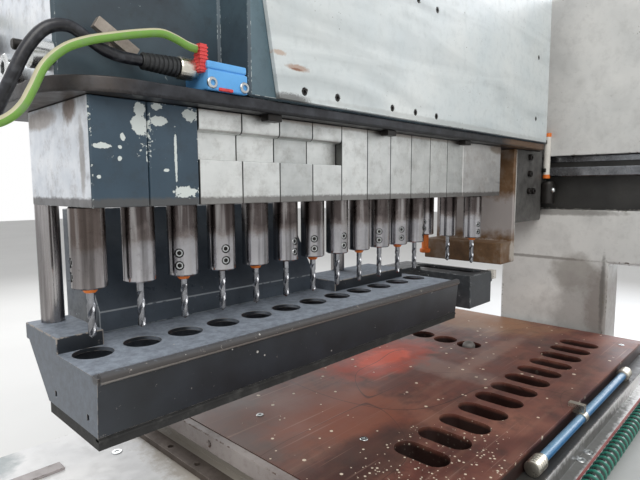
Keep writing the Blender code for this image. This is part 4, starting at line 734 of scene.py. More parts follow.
chuck, screws = chuck_shape(), set_screws()
for number, (node, degrees) in enumerate(zip(ROW + CROSS_ROW, SCREWS_TURNED), 1):
    centre = middle(node)
    foot = Vector((centre.x, centre.y, CHUCK_BOTTOM))
    finished(f"chuck_{number:02d}", placed(chuck, degrees, foot), node, [chuck_steel, black_oxide],
             [node])
    finished(f"set_screws_{number:02d}", placed(screws, degrees, foot), node, [zinc_steel, black_oxide])
chuck.free()
screws.free()
print("chucks made:", number)

# %% Twist drills and orange collars
DRILL_RADIUS, FLUTE_LEAD, DRILL_STEP, POINT_LENGTH, SHANK_LENGTH = 2.45, 25.0, 0.9, 1.6, 6.0
DRILL_LENGTH = (CHUCK_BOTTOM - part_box("spindle_01")[0].z) / MM
FLUTED_LENGTH = DRILL_LENGTH - SHANK_LENGTH - POINT_LENGTH
SECTION_CORNERS = 28
COLLARED = (1, 3, 5, 7, 9, 11, 13)
PLUGGED = 15
DRILL_TURN = 37


def drill_section():
    """The two-fluted section of a twist drill, as an outline round its axis."""
    section = []
    for k in range(SECTION_CORNERS):
        angle = math.tau * k / SECTION_CORNERS
        flute = max(0.0, math.cos(2 * angle + 0.6 * math.sin(2 * angle))) ** 0.7
        section.append(Vector((math.cos(angle), math.sin(angle), 0)) * DRILL_RADIUS * (1 - 0.55 * flute) * MM)
    return section


def drawn_out(bm, face):
    """Pulls a copy of a face out of it and returns the copy, still in place."""
    made = bmesh.ops.extrude_face_region(bm, geom=[face])["geom"]
    return next(part for part in made if isinstance(part, bmesh.types.BMFace))


def drill_shape():
    """A twist drill with its point at the origin, going up into a plain shank."""
    bm = bmesh.new()
    face = bm.faces.new([bm.verts.new(point * 0.12) for point in drill_section()])
    for share in (0.55, 1.0):
        face = drawn_out(bm, face)
        for vert, point in zip(face.verts, drill_section()):
            vert.co = point * share + Vector((0, 0, POINT_LENGTH * share * MM))
    steps = round(FLUTED_LENGTH / DRILL_STEP)
    twist = Matrix.Rotation(math.tau * FLUTED_LENGTH / steps / FLUTE_LEAD, 3, "Z")
    for k in range(steps):
        face = drawn_out(bm, face)
        bmesh.ops.translate(bm, verts=face.verts, vec=(0, 0, FLUTED_LENGTH / steps * MM))
        bmesh.ops.rotate(bm, verts=face.verts, cent=(0, 0, 0), matrix=twist)
    shank = DRILL_LENGTH - SHANK_LENGTH
    turned(bm, [(0, shank - 0.6), (DRILL_RADIUS - 0.5, shank - 0.6), (DRILL_RADIUS, shank),
                (DRILL_RADIUS, DRILL_LENGTH + 1.0), (0, DRILL_LENGTH + 1.0)], Vector(), sides=28)
    return bm


COLLAR_PROFILE = [(0, -2.4), (3.3, -2.4), (4.5, -0.7), (4.5, 0.1), (0, 0.1)]
PLUG_PROFILE = [(0, -23), (5.6, -23), (6.6, -22), (6.6, -18.6), (4.3, -17.4), (4.3, -0.2), (0, -0.2)]
drill = drill_shape()
for number, node in enumerate(ROW + CROSS_ROW, 1):
    mouth = Vector((middle(node).x, middle(node).y, CHUCK_BOTTOM))
    if number == PLUGGED:
        spun("orange_plug", PLUG_PROFILE, mouth, "Z", 48, node, orange_plastic)
        continue
    point = mouth - Vector((0, 0, DRILL_LENGTH * MM))
    finished(f"twist_drill_{number:02d}", placed(drill, DRILL_TURN * number, point), node,
             drill_steel, smooth_angle=50)
    if number in COLLARED:
        spun(f"orange_collar_{number:02d}", COLLAR_PROFILE, mouth, "Z", 32, node, orange_plastic)
drill.free()
print("spindles made:", len(ROW + CROSS_ROW))

# %% [markdown]
# The dust hood is folded sheet under slate paint. Chips rain on it all day, so its top is grey with dust
# round the drill holes, its front lip is worn to bare metal in places with a thin highlight painted along it,
# its front stays dark, and faces that look towards its left-hand end take some of the same pale grey. It is
# cut out again here with round holes, a rolled lip, welded pads for the guide rods and a rubber skirt.

# %% Hood finish
HOOD_MARKS = (
    ((170, -44.5, 250), (0, 17, 9), "#403C3A", 0.85, 2.5),
    # The second mark, a thin pale line along the lip's lower front, is a painted highlight.
    ((170, -48.2, 247.6), (0, 5, 1.8), "#8D8883", 0.7, 2.0),
)


def dusty_slate():
    """Slate enamel: dust on what faces up, pale grey on faces towards the left-hand end, bright scratches and
    a painted highlight along the lip.
    """
    material, tree, shader, place = start("slate_enamel_dusty")
    tone = add(tree, "TexNoise", {"Vector": place, "Scale": size(30), "Detail": 6})
    paint = add(tree, "ValToRGB", {"Fac": tone}, stops=[(0.3, "#14171B"), (0.7, "#272C33")])
    facing = add(tree, "SeparateXYZ", {0: add(tree, "NewGeometry").outputs["Normal"]})
    grit = add(tree, "TexNoise", {"Vector": place, "Scale": size(6), "Detail": 10, "Roughness": 0.75})
    settled = add(tree, "MapRange", {"Value": facing.outputs["Z"], "From Min": 0.35, "From Max": 0.95})
    amount = add(tree, "MapRange", {"Value": grit, "From Min": 0.1, "From Max": 0.6})
    # Faces that look towards the left-hand end take up to 0.42 of the same pale grey, by their direction
    # alone.
    endwise = add(tree, "MapRange", {"Value": facing.outputs["X"], "From Min": -0.5, "From Max": -0.95,
                                     "To Max": 0.42})
    faces_up_or_endwise = add(tree, "Math", {0: settled, 1: endwise}, operation="MAXIMUM")
    dust = add(tree, "Math", {0: faces_up_or_endwise, 1: amount}, operation="MULTIPLY")
    scuffs = add(tree, "TexNoise", {"Vector": place, "Scale": size(4), "Detail": 9, "Roughness": 0.7})
    edge = add(tree, "Attribute", attribute_name="edge")
    level = add(tree, "Math", {0: edge.outputs["Fac"], 1: 0.2, 2: scuffs}, operation="MULTIPLY_ADD")
    bare = add(tree, "MapRange", {"Value": level, "From Min": 0.66, "From Max": 0.7})
    flecks = add(tree, "TexVoronoi", {"Vector": place, "Scale": size(7)})
    drawn = add(tree, "SeparateColor", {0: flecks.outputs["Color"]})
    limit = add(tree, "MapRange", {"Value": drawn, "From Min": 0.75, "To Max": 0.14})
    fleck = add(tree, "Math", {0: flecks.outputs["Distance"], 1: limit}, operation="LESS_THAN")
    colour = tinted(tree, paint, [(dust, "#9AA4B2"), *patches(tree, place, HOOD_MARKS), (bare, "#98928C"),
                                  (fleck, "#B9B7B2")])
    gloss = add(tree, "MapRange", {"Value": dust, "To Min": 0.34, "To Max": 0.85})
    relief = add(tree, "Bump", {"Height": grit, "Strength": 0.3, "Distance": 0.2 * MM})
    add(tree, shader, {"Base Color": colour, "Roughness": gloss, "Normal": relief})
    return material


hood_enamel = dusty_slate()
slate_enamel = enamel("slate_enamel_worn", "#2C3034", "#44494E", "#A3A6A8", chips=0.33, wear=0.5, dirt=0.6,
                      dirt_colour="#63676A", roughness=0.42)
duct_enamel = enamel("slate_enamel_of_the_duct", "#3C444E", "#59636F", "#9EA4AA", chips=0.2, wear=0.9,
                     dirt=0.4, dirt_colour="#2E343B", roughness=0.32, wipes=0.5)
skirt_rubber = machined("black_skirt_rubber", "#141414", "#232323", roughness=0.7, stain="#6B6B68",
                        stains=0.4, metallic=0.0)

# %% Hood, skirt and the hood of the cross row
HOOD_WALL, HOLE_RADIUS, LIP_RADIUS, SKIRT_HEIGHT, SKIRT_THICKNESS = 2.5, 12.0, 3.2, 7.0, 3.5
HOOD_LEFT, HOOD_RIGHT, HOOD_TOP, HOOD_BOTTOM = -17.0, 368.0, 250.0, 216.0
HOOD_LENGTH = HOOD_RIGHT - HOOD_LEFT
OUTSIDE = [(-46, HOOD_TOP), (-43, HOOD_BOTTOM), (30, HOOD_BOTTOM), (63, HOOD_TOP)]
OVER = 4.0
INSIDE = [(-43.5, HOOD_TOP - HOOD_WALL), (-40.5, HOOD_BOTTOM - OVER), (24.5, HOOD_BOTTOM - OVER),
          (59, HOOD_TOP - HOOD_WALL)]
DUCT_SLOT = ((30, 222), (42, 58), (HOOD_TOP - OVER, HOOD_TOP + OVER))
END_SLOTS = [((HOOD_LEFT - OVER, HOOD_LEFT + OVER), (y - 1.5, y + 1.5), (222, 226)) for y in (-31, 17)]


def across(points, left):
    """Places on a plane across the row from (behind, up) in mm."""
    return [in_line(left, y, z) for y, z in points]


shell, hollow, holes = bmesh.new(), bmesh.new(), bmesh.new()
pulled(shell, across(OUTSIDE, HOOD_LEFT), Vector((HOOD_LENGTH * MM, 0, 0)))
pulled(hollow, across(INSIDE, HOOD_LEFT + HOOD_WALL), Vector(((HOOD_LENGTH - 2 * HOOD_WALL) * MM, 0, 0)))
for node in ROW:
    turned(holes, [(0, -OVER), (HOLE_RADIUS, -OVER), (HOLE_RADIUS, OVER), (0, OVER)],
           Vector((middle(node).x, middle(node).y, HOOD_TOP * MM)), sides=48)
for slot in (DUCT_SLOT, *END_SLOTS):
    block(holes, *slot)
shell = carved(carved(shell, hollow), holes)
rounded(shell, 0.5)
finished("hood_sheet", shell, "hood_unit", hood_enamel, ["hood"])

# %% Pads, lip and skirt of the hood
PADS = (((HOOD_LEFT, 12), (12, 68), (HOOD_TOP - 1.0, HOOD_TOP + 10)),
        ((237, 350), (14, 62.7), (HOOD_TOP - 1.0, HOOD_TOP + 10)))
LIP_START, LIP_LENGTH, LIP_WEAR = (HOOD_LEFT + 1.5, -45.2, HOOD_TOP - 0.8), HOOD_LENGTH - 3, 0.2
SKIRT_LEFT, SKIRT_RIGHT, SKIRT_FRONT = HOOD_LEFT + 0.3, HOOD_RIGHT - 0.3, -43
SKIRT_INSIDE = SKIRT_FRONT + SKIRT_THICKNESS
SKIRT_SPAN = (HOOD_BOTTOM - SKIRT_HEIGHT, HOOD_BOTTOM - 0.2)
bars("hood_pads", PADS, 0.8, "hood_unit", hood_enamel)

lip = bmesh.new()
turned(lip, [(0, 0), (LIP_RADIUS, 0), (LIP_RADIUS, LIP_LENGTH), (0, LIP_LENGTH)],
       in_line(*LIP_START), "X", 24)
marks = lip.faces.layers.float.new("edge")
for face in lip.faces:
    face[marks] = LIP_WEAR
finished("hood_lip", lip, "hood_unit", hood_enamel)

skirt_boxes = [((SKIRT_LEFT, SKIRT_RIGHT), (SKIRT_FRONT, SKIRT_INSIDE), SKIRT_SPAN),
               ((SKIRT_LEFT, SKIRT_RIGHT), (SKIRT_FRONT - 0.8, SKIRT_INSIDE),
                (HOOD_BOTTOM - 2.4, HOOD_BOTTOM - 1.0))]
for x in (SKIRT_LEFT, SKIRT_RIGHT - SKIRT_THICKNESS):
    skirt_boxes.append(((x, x + SKIRT_THICKNESS), (SKIRT_INSIDE, 28.5), SKIRT_SPAN))
bars("hood_skirt", skirt_boxes, 0, "hood_unit", skirt_rubber)
dressed("cross_hood", "hood_unit", slate_enamel, 0.6)
dressed("extraction_duct", "hood_unit", duct_enamel, 0.6)
print("hood, pads, lip, skirt and duct made")

# %% Guide rods
# Two upright bands down the left-hand rod are a painted reflection: a pale highlight and a brown band beside
# it.
ROD_PAINTED_HIGHLIGHTS = (((-19, 5, 300), (7, 30, 0), "#5B4A42", 0.7, 9.0),
             ((-25, 5, 300), (5, 30, 0), "#C9C7C8", 0.6, 9.0))
rod_steel = machined("ground_bar_steel", "#6A6667", "#BDBABA", (1, 1, 0.03), 2.5, 0.2, "#54423B", 0.8,
                     drawn=True, marks=ROD_PAINTED_HIGHLIGHTS)
for side in ("left", "right"):
    node = f"guide_rod_{side}"
    low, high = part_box(node)
    radius, length = (high.x - low.x) / 2 / MM, (high.z - low.z) / MM
    profile = [(0, 0), (radius, 0), (radius, length - 1), (radius - 1, length), (0, length)]
    foot = Vector((middle(node).x, middle(node).y, low.z))
    spun(f"{node}_ground", profile, foot, "Z", 48, "hood_unit", rod_steel, [node])
print("guide rods made")

# %% [markdown]
# The table is a slab of cotton-phenolic laminate. Its skin is a dull red-brown, and an orange-red patch in
# its middle is a painted reflection of something red. Grey dust, long curved scratches and pale chips of wood
# lie over it, and the walls of the slots and holes darken with depth as painted shade. A scratch is the thin
# line along which a broad noise passes its middle value. A chip is the middle of one cell in a cell pattern,
# kept by chance, and oftener near the first slots.

# %% Phenolic laminate
TABLE_MARKS = (
    ((120, 40, 159), (150, 300, 0), "#75665F", 0.5, 40), ((345, -30, 159), (50, 190, 0), "#8F7B74", 0.5, 18),
    ((560, 30, 159), (150, 260, 0), "#9A7350", 0.6, 30), ((330, 22, 159), (190, 90, 0), "#B23C1C", 0.95, 26),
    # The two orange-red patches at (330, 22) are a painted reflection of something red.
    ((330, 22, 159), (96, 46, 0), "#F2603C", 0.9, 16), ((185, -25, 159), (150, 150, 0), "#8A4A31", 0.7, 36),
    ((150, -95, 159), (150, 60, 0), "#2C1B18", 0.65, 22), ((420, -60, 159), (260, 26, 0), "#96786C", 0.5, 14),
)
# Scratches: (spots of the broad noise in mm, half width of the line as a share of the noise)
SCRATCHES = ((260, 0.0011), (150, 0.0012))
# Chips: (cell in mm, chance that a cell keeps its chip, centre, widths)
CHIPS = ((2.8, 0.8, (168, -135, 159), (170, 100, 0)), (5.0, 0.09, (300, -60, 159), (620, 420, 0)))


def laminate_finish():
    """Cotton-phenolic laminate: scratched, worn at its edges, streaked and strewn with chips, with an
    orange-red reflection painted in its middle and shade painted down the walls of its slots.
    """
    material, tree, shader, place = start("cotton_phenolic_laminate")
    cloud = add(tree, "TexNoise", {"Vector": place, "Scale": size(80), "Detail": 9, "Roughness": 0.62})
    skin = add(tree, "ValToRGB", {"Fac": cloud}, stops=[(0.3, "#43241E"), (0.5, "#67392F"), (0.7, "#8C5A49")])
    grime = add(tree, "TexNoise", {"Vector": place, "Scale": size(26), "Detail": 10, "Roughness": 0.7})
    soiled = add(tree, "MapRange", {"Value": grime, "From Min": 0.5, "From Max": 0.68, "To Max": 0.7})
    slanted = add(tree, "Mapping", {"Vector": place, "Rotation": (0, 0, 0.5), "Scale": (0.02, 1, 1)})
    lines = add(tree, "TexNoise", {"Vector": slanted, "Scale": size(3), "Detail": 3})
    scored = add(tree, "MapRange", {"Value": lines, "From Min": 0.64, "From Max": 0.7, "To Max": 0.4})
    # Faces below the table's top, down the walls of the slots and holes, darken to near black with depth:
    # painted shade.
    height = add(tree, "SeparateXYZ", {0: place})
    painted_slot_shade = add(tree, "MapRange", {"Value": height.outputs["Z"], "From Min": TABLE_TOP - 0.8 * MM,
                                  "From Max": TABLE_TOP - 4 * MM, "To Max": 0.95})
    drawn = add(tree, "Mapping", {"Vector": place, "Scale": (0.05, 1, 1)})
    streaks = add(tree, "TexNoise", {"Vector": drawn, "Scale": size(9), "Detail": 6})
    streaked = add(tree, "MapRange", {"Value": streaks, "From Min": 0.5, "From Max": 0.75, "To Max": 0.6})
    layers = [(streaked, "#87604F"), (soiled, "#2C1A16"), *patches(tree, place, TABLE_MARKS),
              (scored, "#A58578")]
    for reach_mm, width in SCRATCHES:
        broad = add(tree, "TexNoise", {"Vector": place, "Scale": size(reach_mm), "Detail": 0})
        apart = add(tree, "Math", {0: broad, 1: 0.5}, operation="SUBTRACT")
        off = add(tree, "Math", {0: apart}, operation="ABSOLUTE")
        line = add(tree, "MapRange", {"Value": off, "From Min": width, "From Max": width * 0.3,
                                      "To Max": 0.75})
        layers.append((line, "#2B1713"))
    edge = add(tree, "Attribute", attribute_name="edge")
    worn = add(tree, "Math", {0: edge.outputs["Fac"], 1: 0.5}, operation="MULTIPLY")
    layers.append((worn, "#9A7A6E"))
    for spacing, chance, centre, across in CHIPS:
        cells = add(tree, "TexVoronoi", {"Vector": place, "Scale": size(spacing)})
        draw = add(tree, "SeparateColor", {0: cells.outputs["Color"]})
        share = add(tree, "Math", {0: patch(tree, place, centre, across, chance, 25), 1: draw},
                    operation="GREATER_THAN")
        reach = add(tree, "Math", {0: draw.outputs[1], 1: 0.36}, operation="MULTIPLY")
        chip = add(tree, "Math", {0: cells.outputs["Distance"], 1: reach}, operation="LESS_THAN")
        kept = add(tree, "Math", {0: chip, 1: share}, operation="MULTIPLY")
        layers.append((kept, "#E6D9C4"))
    colour = tinted(tree, skin, layers + [(painted_slot_shade, "#1C0B08")])
    gloss = add(tree, "MapRange", {"Value": cloud, "From Min": 0.3, "From Max": 0.7, "To Min": 0.34,
                                   "To Max": 0.62})
    relief = add(tree, "Bump", {"Height": streaks, "Strength": 0.15, "Distance": 0.2 * MM})
    add(tree, shader, {"Base Color": colour, "Roughness": gloss, "IOR": 1.55, "Normal": relief})
    return material


# %% Table and its edge strip
laminate = laminate_finish()
# The edge strip's pale grey is painted light: the laminate's edge as it looks lit from the side. Its chips
# and dirt are wear.
side_lit_laminate = enamel("laminate_edge_painted_as_side_lit", "#857B78", "#A59D9A", "#5F4C44", chips=0.25, dirt=0.5,
                        dirt_colour="#6B5B52", roughness=0.5)
dressed("table_plate", "machine_frame", laminate, 0.7)
dressed("table_edge_strip", "machine_frame", side_lit_laminate, 1.2)
rail_steel = machined("brown_rail_steel", "#4E453F", "#6F655E", (1, 0.1, 1), 2.0, 0.5, "#2E2622", 0.7,
                      metallic=0.4)
RAIL = ((77, 89.6), (-168, 122), (130.8, 136))
RAIL_HOLES = [in_line(83, y, 133) for y in (-120, -45, 20, 60, 100)]
RAIL_HOLE = [(0, 0), (2.4, 0), (2.4, 4), (0, 4)]
rail, rail_holes = bmesh.new(), bmesh.new()
block(rail, *RAIL)
for place in RAIL_HOLES:
    turned(rail_holes, RAIL_HOLE, place, "Z", 20)
rail = carved(rail, rail_holes)
rounded(rail, 0.4)
finished("table_rail", rail, "machine_frame", rail_steel)
print("table, edge strip and rail dressed")

# %% Domed steel plug in one of the table's holes
DOME = [(0, -6), (7.5, -6), (7.5, -1), (6.9, 1.2), (5.2, 3.1), (2.8, 4.1), (0, 4.4)]
plug_place = Vector((middle("spindle_13").x, middle("spindle_13").y, TABLE_TOP))
plug_steel = machined("weathered_steel", "#6E6A68", "#918D8A", roughness=0.6, stain="#5A4238", metallic=0.5)
spun("steel_plug", DOME, plug_place, "Z", 40, "machine_frame", plug_steel, smooth_angle=60)
print("steel plug made")

# %% [markdown]
# Socket head screws hold nearly everything here. A head is a chamfered disc with a six-sided hole: the disc
# and the hole are both turned shapes, the hole with only six sides, and one is cut from the other.

# %% Helper for screws
def cap_screws(name, places, axis, radius, rise, body, material):
    """Socket head screws at several places in mm, their heads towards an axis."""
    heads, sockets = bmesh.new(), bmesh.new()
    socket_radius = radius * 0.52
    head_profile = [(0, -0.3), (radius, -0.3), (radius, rise - 0.12 * radius), (radius * 0.88, rise),
                    (0, rise)]
    socket_profile = [(0, rise * 0.35), (socket_radius, rise * 0.35), (socket_radius, rise + 1),
                      (0, rise + 1)]
    for place in places:
        turned(heads, head_profile, in_line(*place), axis, 32)
        turned(sockets, socket_profile, in_line(*place), axis, 6)
    return finished(name, carved(heads, sockets), body, material, smooth_angle=25)


TABLE_SCREWS = [(139.7, 12.1, 158.7), (167.7, -77.7, 158.7), (561.6, -160.1, 158.7)]
cap_screws("table_screws", TABLE_SCREWS, "Z", 3.2, 0.9, "machine_frame", zinc_steel)
print("screws of the table:", len(TABLE_SCREWS))

# %% [markdown]
# The bed is a casting under thick white enamel. Sand and dust gather where the table stands on it. The land
# under the table is painted black as shade, and it is what shows through the slots. The upright is a warm
# grey, with oil round the recess that the carriage runs in, and the inside of that recess is painted black as
# shade.

# %% Bed and upright
BED_STAINS = (
    ((92, 20, 131), (70, 250, 30), "#A79C8C", 0.75, 7.0),
    ((330, -222, 131), (420, 44, 30), "#8F918F", 0.7, 16.0),
    ((300, -192, 131), (420, 16, 30), "#4E4E4A", 0.9, 5.0),
    ((-40, 150, 131), (70, 90, 14), "#6F8084", 0.7, 20.0),
)
UPRIGHT_STAINS = (
    ((606, -60, 316), (0, 200, 12), "#5E5A55", 0.6, 8.0),
    ((606, -90, 235), (0, 70, 60), "#8B8680", 0.7, 22.0),
    ((606, -118, 165), (0, 150, 170), "#8A8683", 0.62, 30.0),
    ((606, -125, 190), (0, 50, 120), "#6A5F57", 0.5, 9.0),
    ((606, -125, 210), (0, 8, 120), "#5C5A57", 0.7, 6.0), ((606, -40, 252), (0, 180, 5), "#77736E", 0.7, 5.0),
)
bed_enamel = enamel("white_machine_enamel", "#E6E7E9", "#F2F2F2", "#77706A", chips=0.12, wear=0.3, dirt=0.08,
                    dirt_colour="#8F8B84", roughness=0.4, stains=BED_STAINS)
upright_enamel = enamel("warm_grey_enamel", "#CBCCCB", "#DBDBD9", "#6B655E", chips=0.18, wear=0.4, dirt=0.25,
                        dirt_colour="#8E8D8B", roughness=0.45, stains=UPRIGHT_STAINS, wipes=0.2)
shade_black = enamel("black_painted_shade", "#1E1E1E", "#3D3C3A", "#8E8B86", chips=0.2, dirt=0.5, roughness=0.38)
faded_cord = enamel("faded_red_cord", "#A8524F", "#C98480", "#DCD0CC", chips=0.2, dirt=0.4, roughness=0.6)
bed = dressed("bed", "machine_frame", bed_enamel, 1.2)
upright = dressed("upright", "machine_frame", upright_enamel, 1.2)
LAND_HEIGHT, RECESS_FRONT = TABLE_FOOT - 1.5 * MM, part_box("upright")[0].x + 2 * MM
RECESS_BACK, RECESS_LOW, RECESS_HIGH = RECESS_FRONT + 16 * MM, 318 * MM, 393 * MM
for piece in (bed, upright):
    piece.data.materials.append(shade_black)
# The land under the table, which shows through the slots, is painted black as shade.
for face in bed.data.polygons:
    if face.center.z > LAND_HEIGHT:
        face.material_index = 1
# The faces inside the recess are painted black as shade.
for face in upright.data.polygons:
    if RECESS_LOW < face.center.z < RECESS_HIGH and RECESS_FRONT < face.center.x < RECESS_BACK:
        face.material_index = 1
print("bed and upright dressed")

# %% Small things on the bed and in the recess
BED_SCREWS = [(51.8, 92.6, 130.8), (302.9, -192.5, 130.8), (319.8, -193.0, 130.8)]
CORD = ((200, 592), (-200.8, -199.2), (130.8, 132.0))
FLAT_BAR = ((-64, 12), (96, 108), (130.9, 133.2))
RECESS_STRIP = ((619.8, 621.9), (-235, 115), (383.5, 391))
dull_strip = enamel("dull_grey_strip", "#A29B9B", "#B7B0B0", "#7A7270", chips=0.2, dirt=0.4, roughness=0.5)
cap_screws("bed_screws", BED_SCREWS, "Z", 4.4, 0.9, "machine_frame", zinc_steel)
bars("bed_cord", [CORD], 0, "machine_frame", faded_cord)
bars("bed_flat_bar", [FLAT_BAR], 0.5, "machine_frame", dull_strip)
bars("recess_strip", [RECESS_STRIP], 0.4, "machine_frame", drill_steel)
print("screws, cord, bar and strip made")

# %% [markdown]
# The head's right-hand end hangs on a steel plate that was never painted: it has rusted brown, with pale
# smears where coolant dried, and its edges are rubbed bright. A dark cast bracket behind it goes to the
# carriage, which runs on a ground rail.

# %% Right-hand end
RUST_MARKS = (
    ((500, -47, 315), (26, 0, 60), "#A9A5A5", 0.8, 14), ((503, -47, 268), (22, 0, 34), "#B9B3AB", 0.9, 6),
    ((508, -47, 340), (5, 5, 150), "#D5D4D0", 1.0, 3),
)


def rusty_finish():
    """Mild steel under a thin even rust, with pale dried coolant and bright rubbed edges."""
    material, tree, shader, place = start("rusty_mild_steel")
    cloud = add(tree, "TexNoise", {"Vector": place, "Scale": size(34), "Detail": 10, "Roughness": 0.66})
    rust = add(tree, "ValToRGB", {"Fac": cloud}, stops=[(0.3, "#4A3524"), (0.5, "#6E5339"), (0.64, "#857669"),
                                                        (0.78, "#A09A95")])
    colour = tinted(tree, rust, patches(tree, place, RUST_MARKS))
    relief = add(tree, "Bump", {"Height": cloud, "Strength": 0.3, "Distance": 0.2 * MM})
    add(tree, shader, {"Base Color": colour, "Roughness": 0.62, "Metallic": 0.25, "Normal": relief})
    return material


cast_bracket = machined("dark_cast_iron", "#4A4948", "#6C6B69", roughness=0.5, stain="#2C2A28", stains=0.7,
                        metallic=0.4)
dressed("end_plate", "head", rusty_finish(), 0.8)
dressed("head_bracket", "head", cast_bracket, 0.8)
dressed("carriage", "cross_carriage", cast_bracket, 0.6)
dressed("carriage_rail", "machine_frame", drill_steel, 0.5)
BRACKET_SCREWS = [(546, -47, 388), (546, -47, 366.8), (545, -47, 344.7), (558, -47, 344.5)]
cap_screws("bracket_screws", BRACKET_SCREWS, "-Y", 4.0, 4.0, "head", black_oxide)
print("end plate, bracket, carriage and rail dressed")

# %% [markdown]
# In front of the carriage stands a slim white signal rod with orange ends, and under it a black knob with a
# steel ball. The cross row's hood carries a small catch and a white plastic buffer.

# %% Signal rod, knob and buffer
white_plastic = enamel("white_moulded_plastic", "#D5D2CB", "#E6E4DE", "#8A8580", chips=0.1, dirt=0.3,
                       dirt_colour="#8A8580", roughness=0.4)
ROD_PLACE, ROD_RADIUS, ROD_FOOT, ROD_TOP, CAP_LENGTH = (600.6, -49.6), 4.6, 362, 422, 5.0
ROD_PROFILE = [(0, 0), (ROD_RADIUS - 0.3, 0), (ROD_RADIUS - 0.3, ROD_TOP - ROD_FOOT), (0, ROD_TOP - ROD_FOOT)]
CLIPS = [((592, 600.5), (-50.5, -43.5), (z, z + 5)) for z in (370, 408)]
KNOB_PLACE, NECK_PLACE, BALL_PLACE, BALL_RADIUS = (596, -54, 327), (589, -54, 338), (591.5, -62.0, 345.5), 3.6
KNOB_PROFILE = [(0, 0), (8.2, 0), (9.0, 0.8), (9.0, 26), (7.0, 30), (0, 30)]
NECK_PROFILE = [(0, 0), (5.0, 0), (5.0, 7), (0, 7)]
CATCH = ((455.5, 463), (-40, -31), (236, 246))
BUFFER = ((461, 469), (-42.5, -33), (239, 249.5))

spun("signal_rod", ROD_PROFILE, in_line(*ROD_PLACE, ROD_FOOT), "Z", 24, "cross_carriage", white_plastic)
caps = bmesh.new()
for bottom in (ROD_FOOT - 0.5, ROD_TOP - CAP_LENGTH + 0.5):
    turned(caps, [(0, 0), (ROD_RADIUS, 0), (ROD_RADIUS, CAP_LENGTH), (0, CAP_LENGTH)],
           in_line(*ROD_PLACE, bottom), "Z", 24)
finished("signal_rod_ends", caps, "cross_carriage", orange_plastic)
clips = bmesh.new()
for clip in CLIPS:
    block(clips, *clip)
rounded(clips, 0.5)
turned(clips, KNOB_PROFILE, in_line(*KNOB_PLACE), "Z", 32)
turned(clips, NECK_PROFILE, in_line(*NECK_PLACE), "X", 24)
finished("signal_rod_clips", clips, "cross_carriage", black_oxide)
ball = bmesh.new()
bmesh.ops.create_uvsphere(ball, u_segments=24, v_segments=16, radius=BALL_RADIUS * MM,
                          matrix=Matrix.Translation(in_line(*BALL_PLACE)))
finished("knob_ball", ball, "cross_carriage", zinc_steel)
bars("cross_hood_catch", [CATCH], 0.5, "hood_unit", slate_enamel)
bars("cross_hood_buffer", [BUFFER], 0.8, "hood_unit", white_plastic)
print("right-hand end made")

# %% [markdown]
# The photocell is a small moulded housing: two shells that meet at a seam, steel rings in its fixing holes,
# and a knurled nut that holds the plug. Twenty-four flat sides are enough for the knurl. The plug's rubber
# boot is a stack of ribs, and the wire's red ferrule is ribbed too.

# %% Photocell with its plug
blue_plastic = enamel("blue_moulded_plastic", "#4E9ADB", "#6DB2EC", "#2B5E92", chips=0.08, wear=0.1, dirt=0.2,
                      dirt_colour="#3C6A92", roughness=0.3)
red_plastic = enamel("red_moulded_plastic", "#C9363A", "#DC4A48", "#8C2326", chips=0.08, dirt=0.3,
                     roughness=0.4)
boot_rubber = machined("black_boot_rubber", "#171819", "#26282B", roughness=0.5, stain="#55565A", stains=0.3,
                       metallic=0.0)
nickel = machined("nickel_plated_brass", "#B5B0A4", "#D9D5CA", roughness=0.28, stain="#6E675A", stains=0.5)
# Each box below is its spans along the row, behind it and up, in mm
SEAM_HEIGHT, SEAM_GAP = 416.6, 0.5
SHELLS = (((46, 74), (-62, -38), (405.4, SEAM_HEIGHT)),
          ((46, 73.6), (-61.6, -38.4), (SEAM_HEIGHT + SEAM_GAP, 421.5)),
          ((46.6, 73.2), (-61, -39), (SEAM_HEIGHT - 1, SEAM_HEIGHT + 1)))
RING_PLACES = [in_line(x, -61.6, 409.2) for x in (48.5, 71.2)]
RING_PROFILE = [(1.7, 0), (3.3, 0), (3.3, 1.0), (2.9, 1.4), (1.7, 1.4), (1.7, 0)]
WINDOW = ((53, 63), (-62.5, -60.5), (405.4, 407.2))
FERRULE = ((42.6, 47.4), (-59.4, -53.6), (415.0, 430.4))
FERRULE_RIBS = [((42.2, 47.8), (-59.8, -53.4), (z, z + 1.0)) for z in range(416, 429, 2)]
cell = bmesh.new()
for box in SHELLS:
    block(cell, *box)
rounded(cell, 1.1, segments=3)
finished("photocell_shells", cell, "head", blue_plastic, ["sensor"])
rings = bmesh.new()
for place in RING_PLACES:
    turned(rings, RING_PROFILE, place, "-Y", 32)
finished("photocell_rings", rings, "head", zinc_steel)
bars("photocell_window", [WINDOW], 0.5, "head", red_plastic)
bars("wire_ferrule", [FERRULE, *FERRULE_RIBS], 0.25, "head", red_plastic)
print("photocell made")

# %% Plug: a ribbed boot and a knurled nut
PLUG_LEFT, PLUG_RIGHT, BOOT_RIGHT, NUT_LEFT, NUT_RIGHT = 12.2, 45.7, 33.0, 33.6, 43.0
PLUG_AXIS = (-50, 417)
RIB_PITCH, RIB_COUNT = 2.6, 8
ribs = [(0, 0), (3.6, 0)]
for k in range(RIB_COUNT):
    groove, ridge, start_at = 3.9 + 0.1 * k, 4.5 + 0.14 * k, RIB_PITCH * k
    ribs += [(groove, start_at + 0.5), (ridge, start_at + 0.9), (ridge, start_at + 2.1),
             (groove, start_at + 2.5)]
ribs.append((0, BOOT_RIGHT - PLUG_LEFT))
spun("plug_boot", ribs, in_line(PLUG_LEFT, *PLUG_AXIS), "X", 40, "head", boot_rubber,
     ["cable_plug"])
nut, nut_length, neck = bmesh.new(), NUT_RIGHT - NUT_LEFT, PLUG_RIGHT - NUT_RIGHT
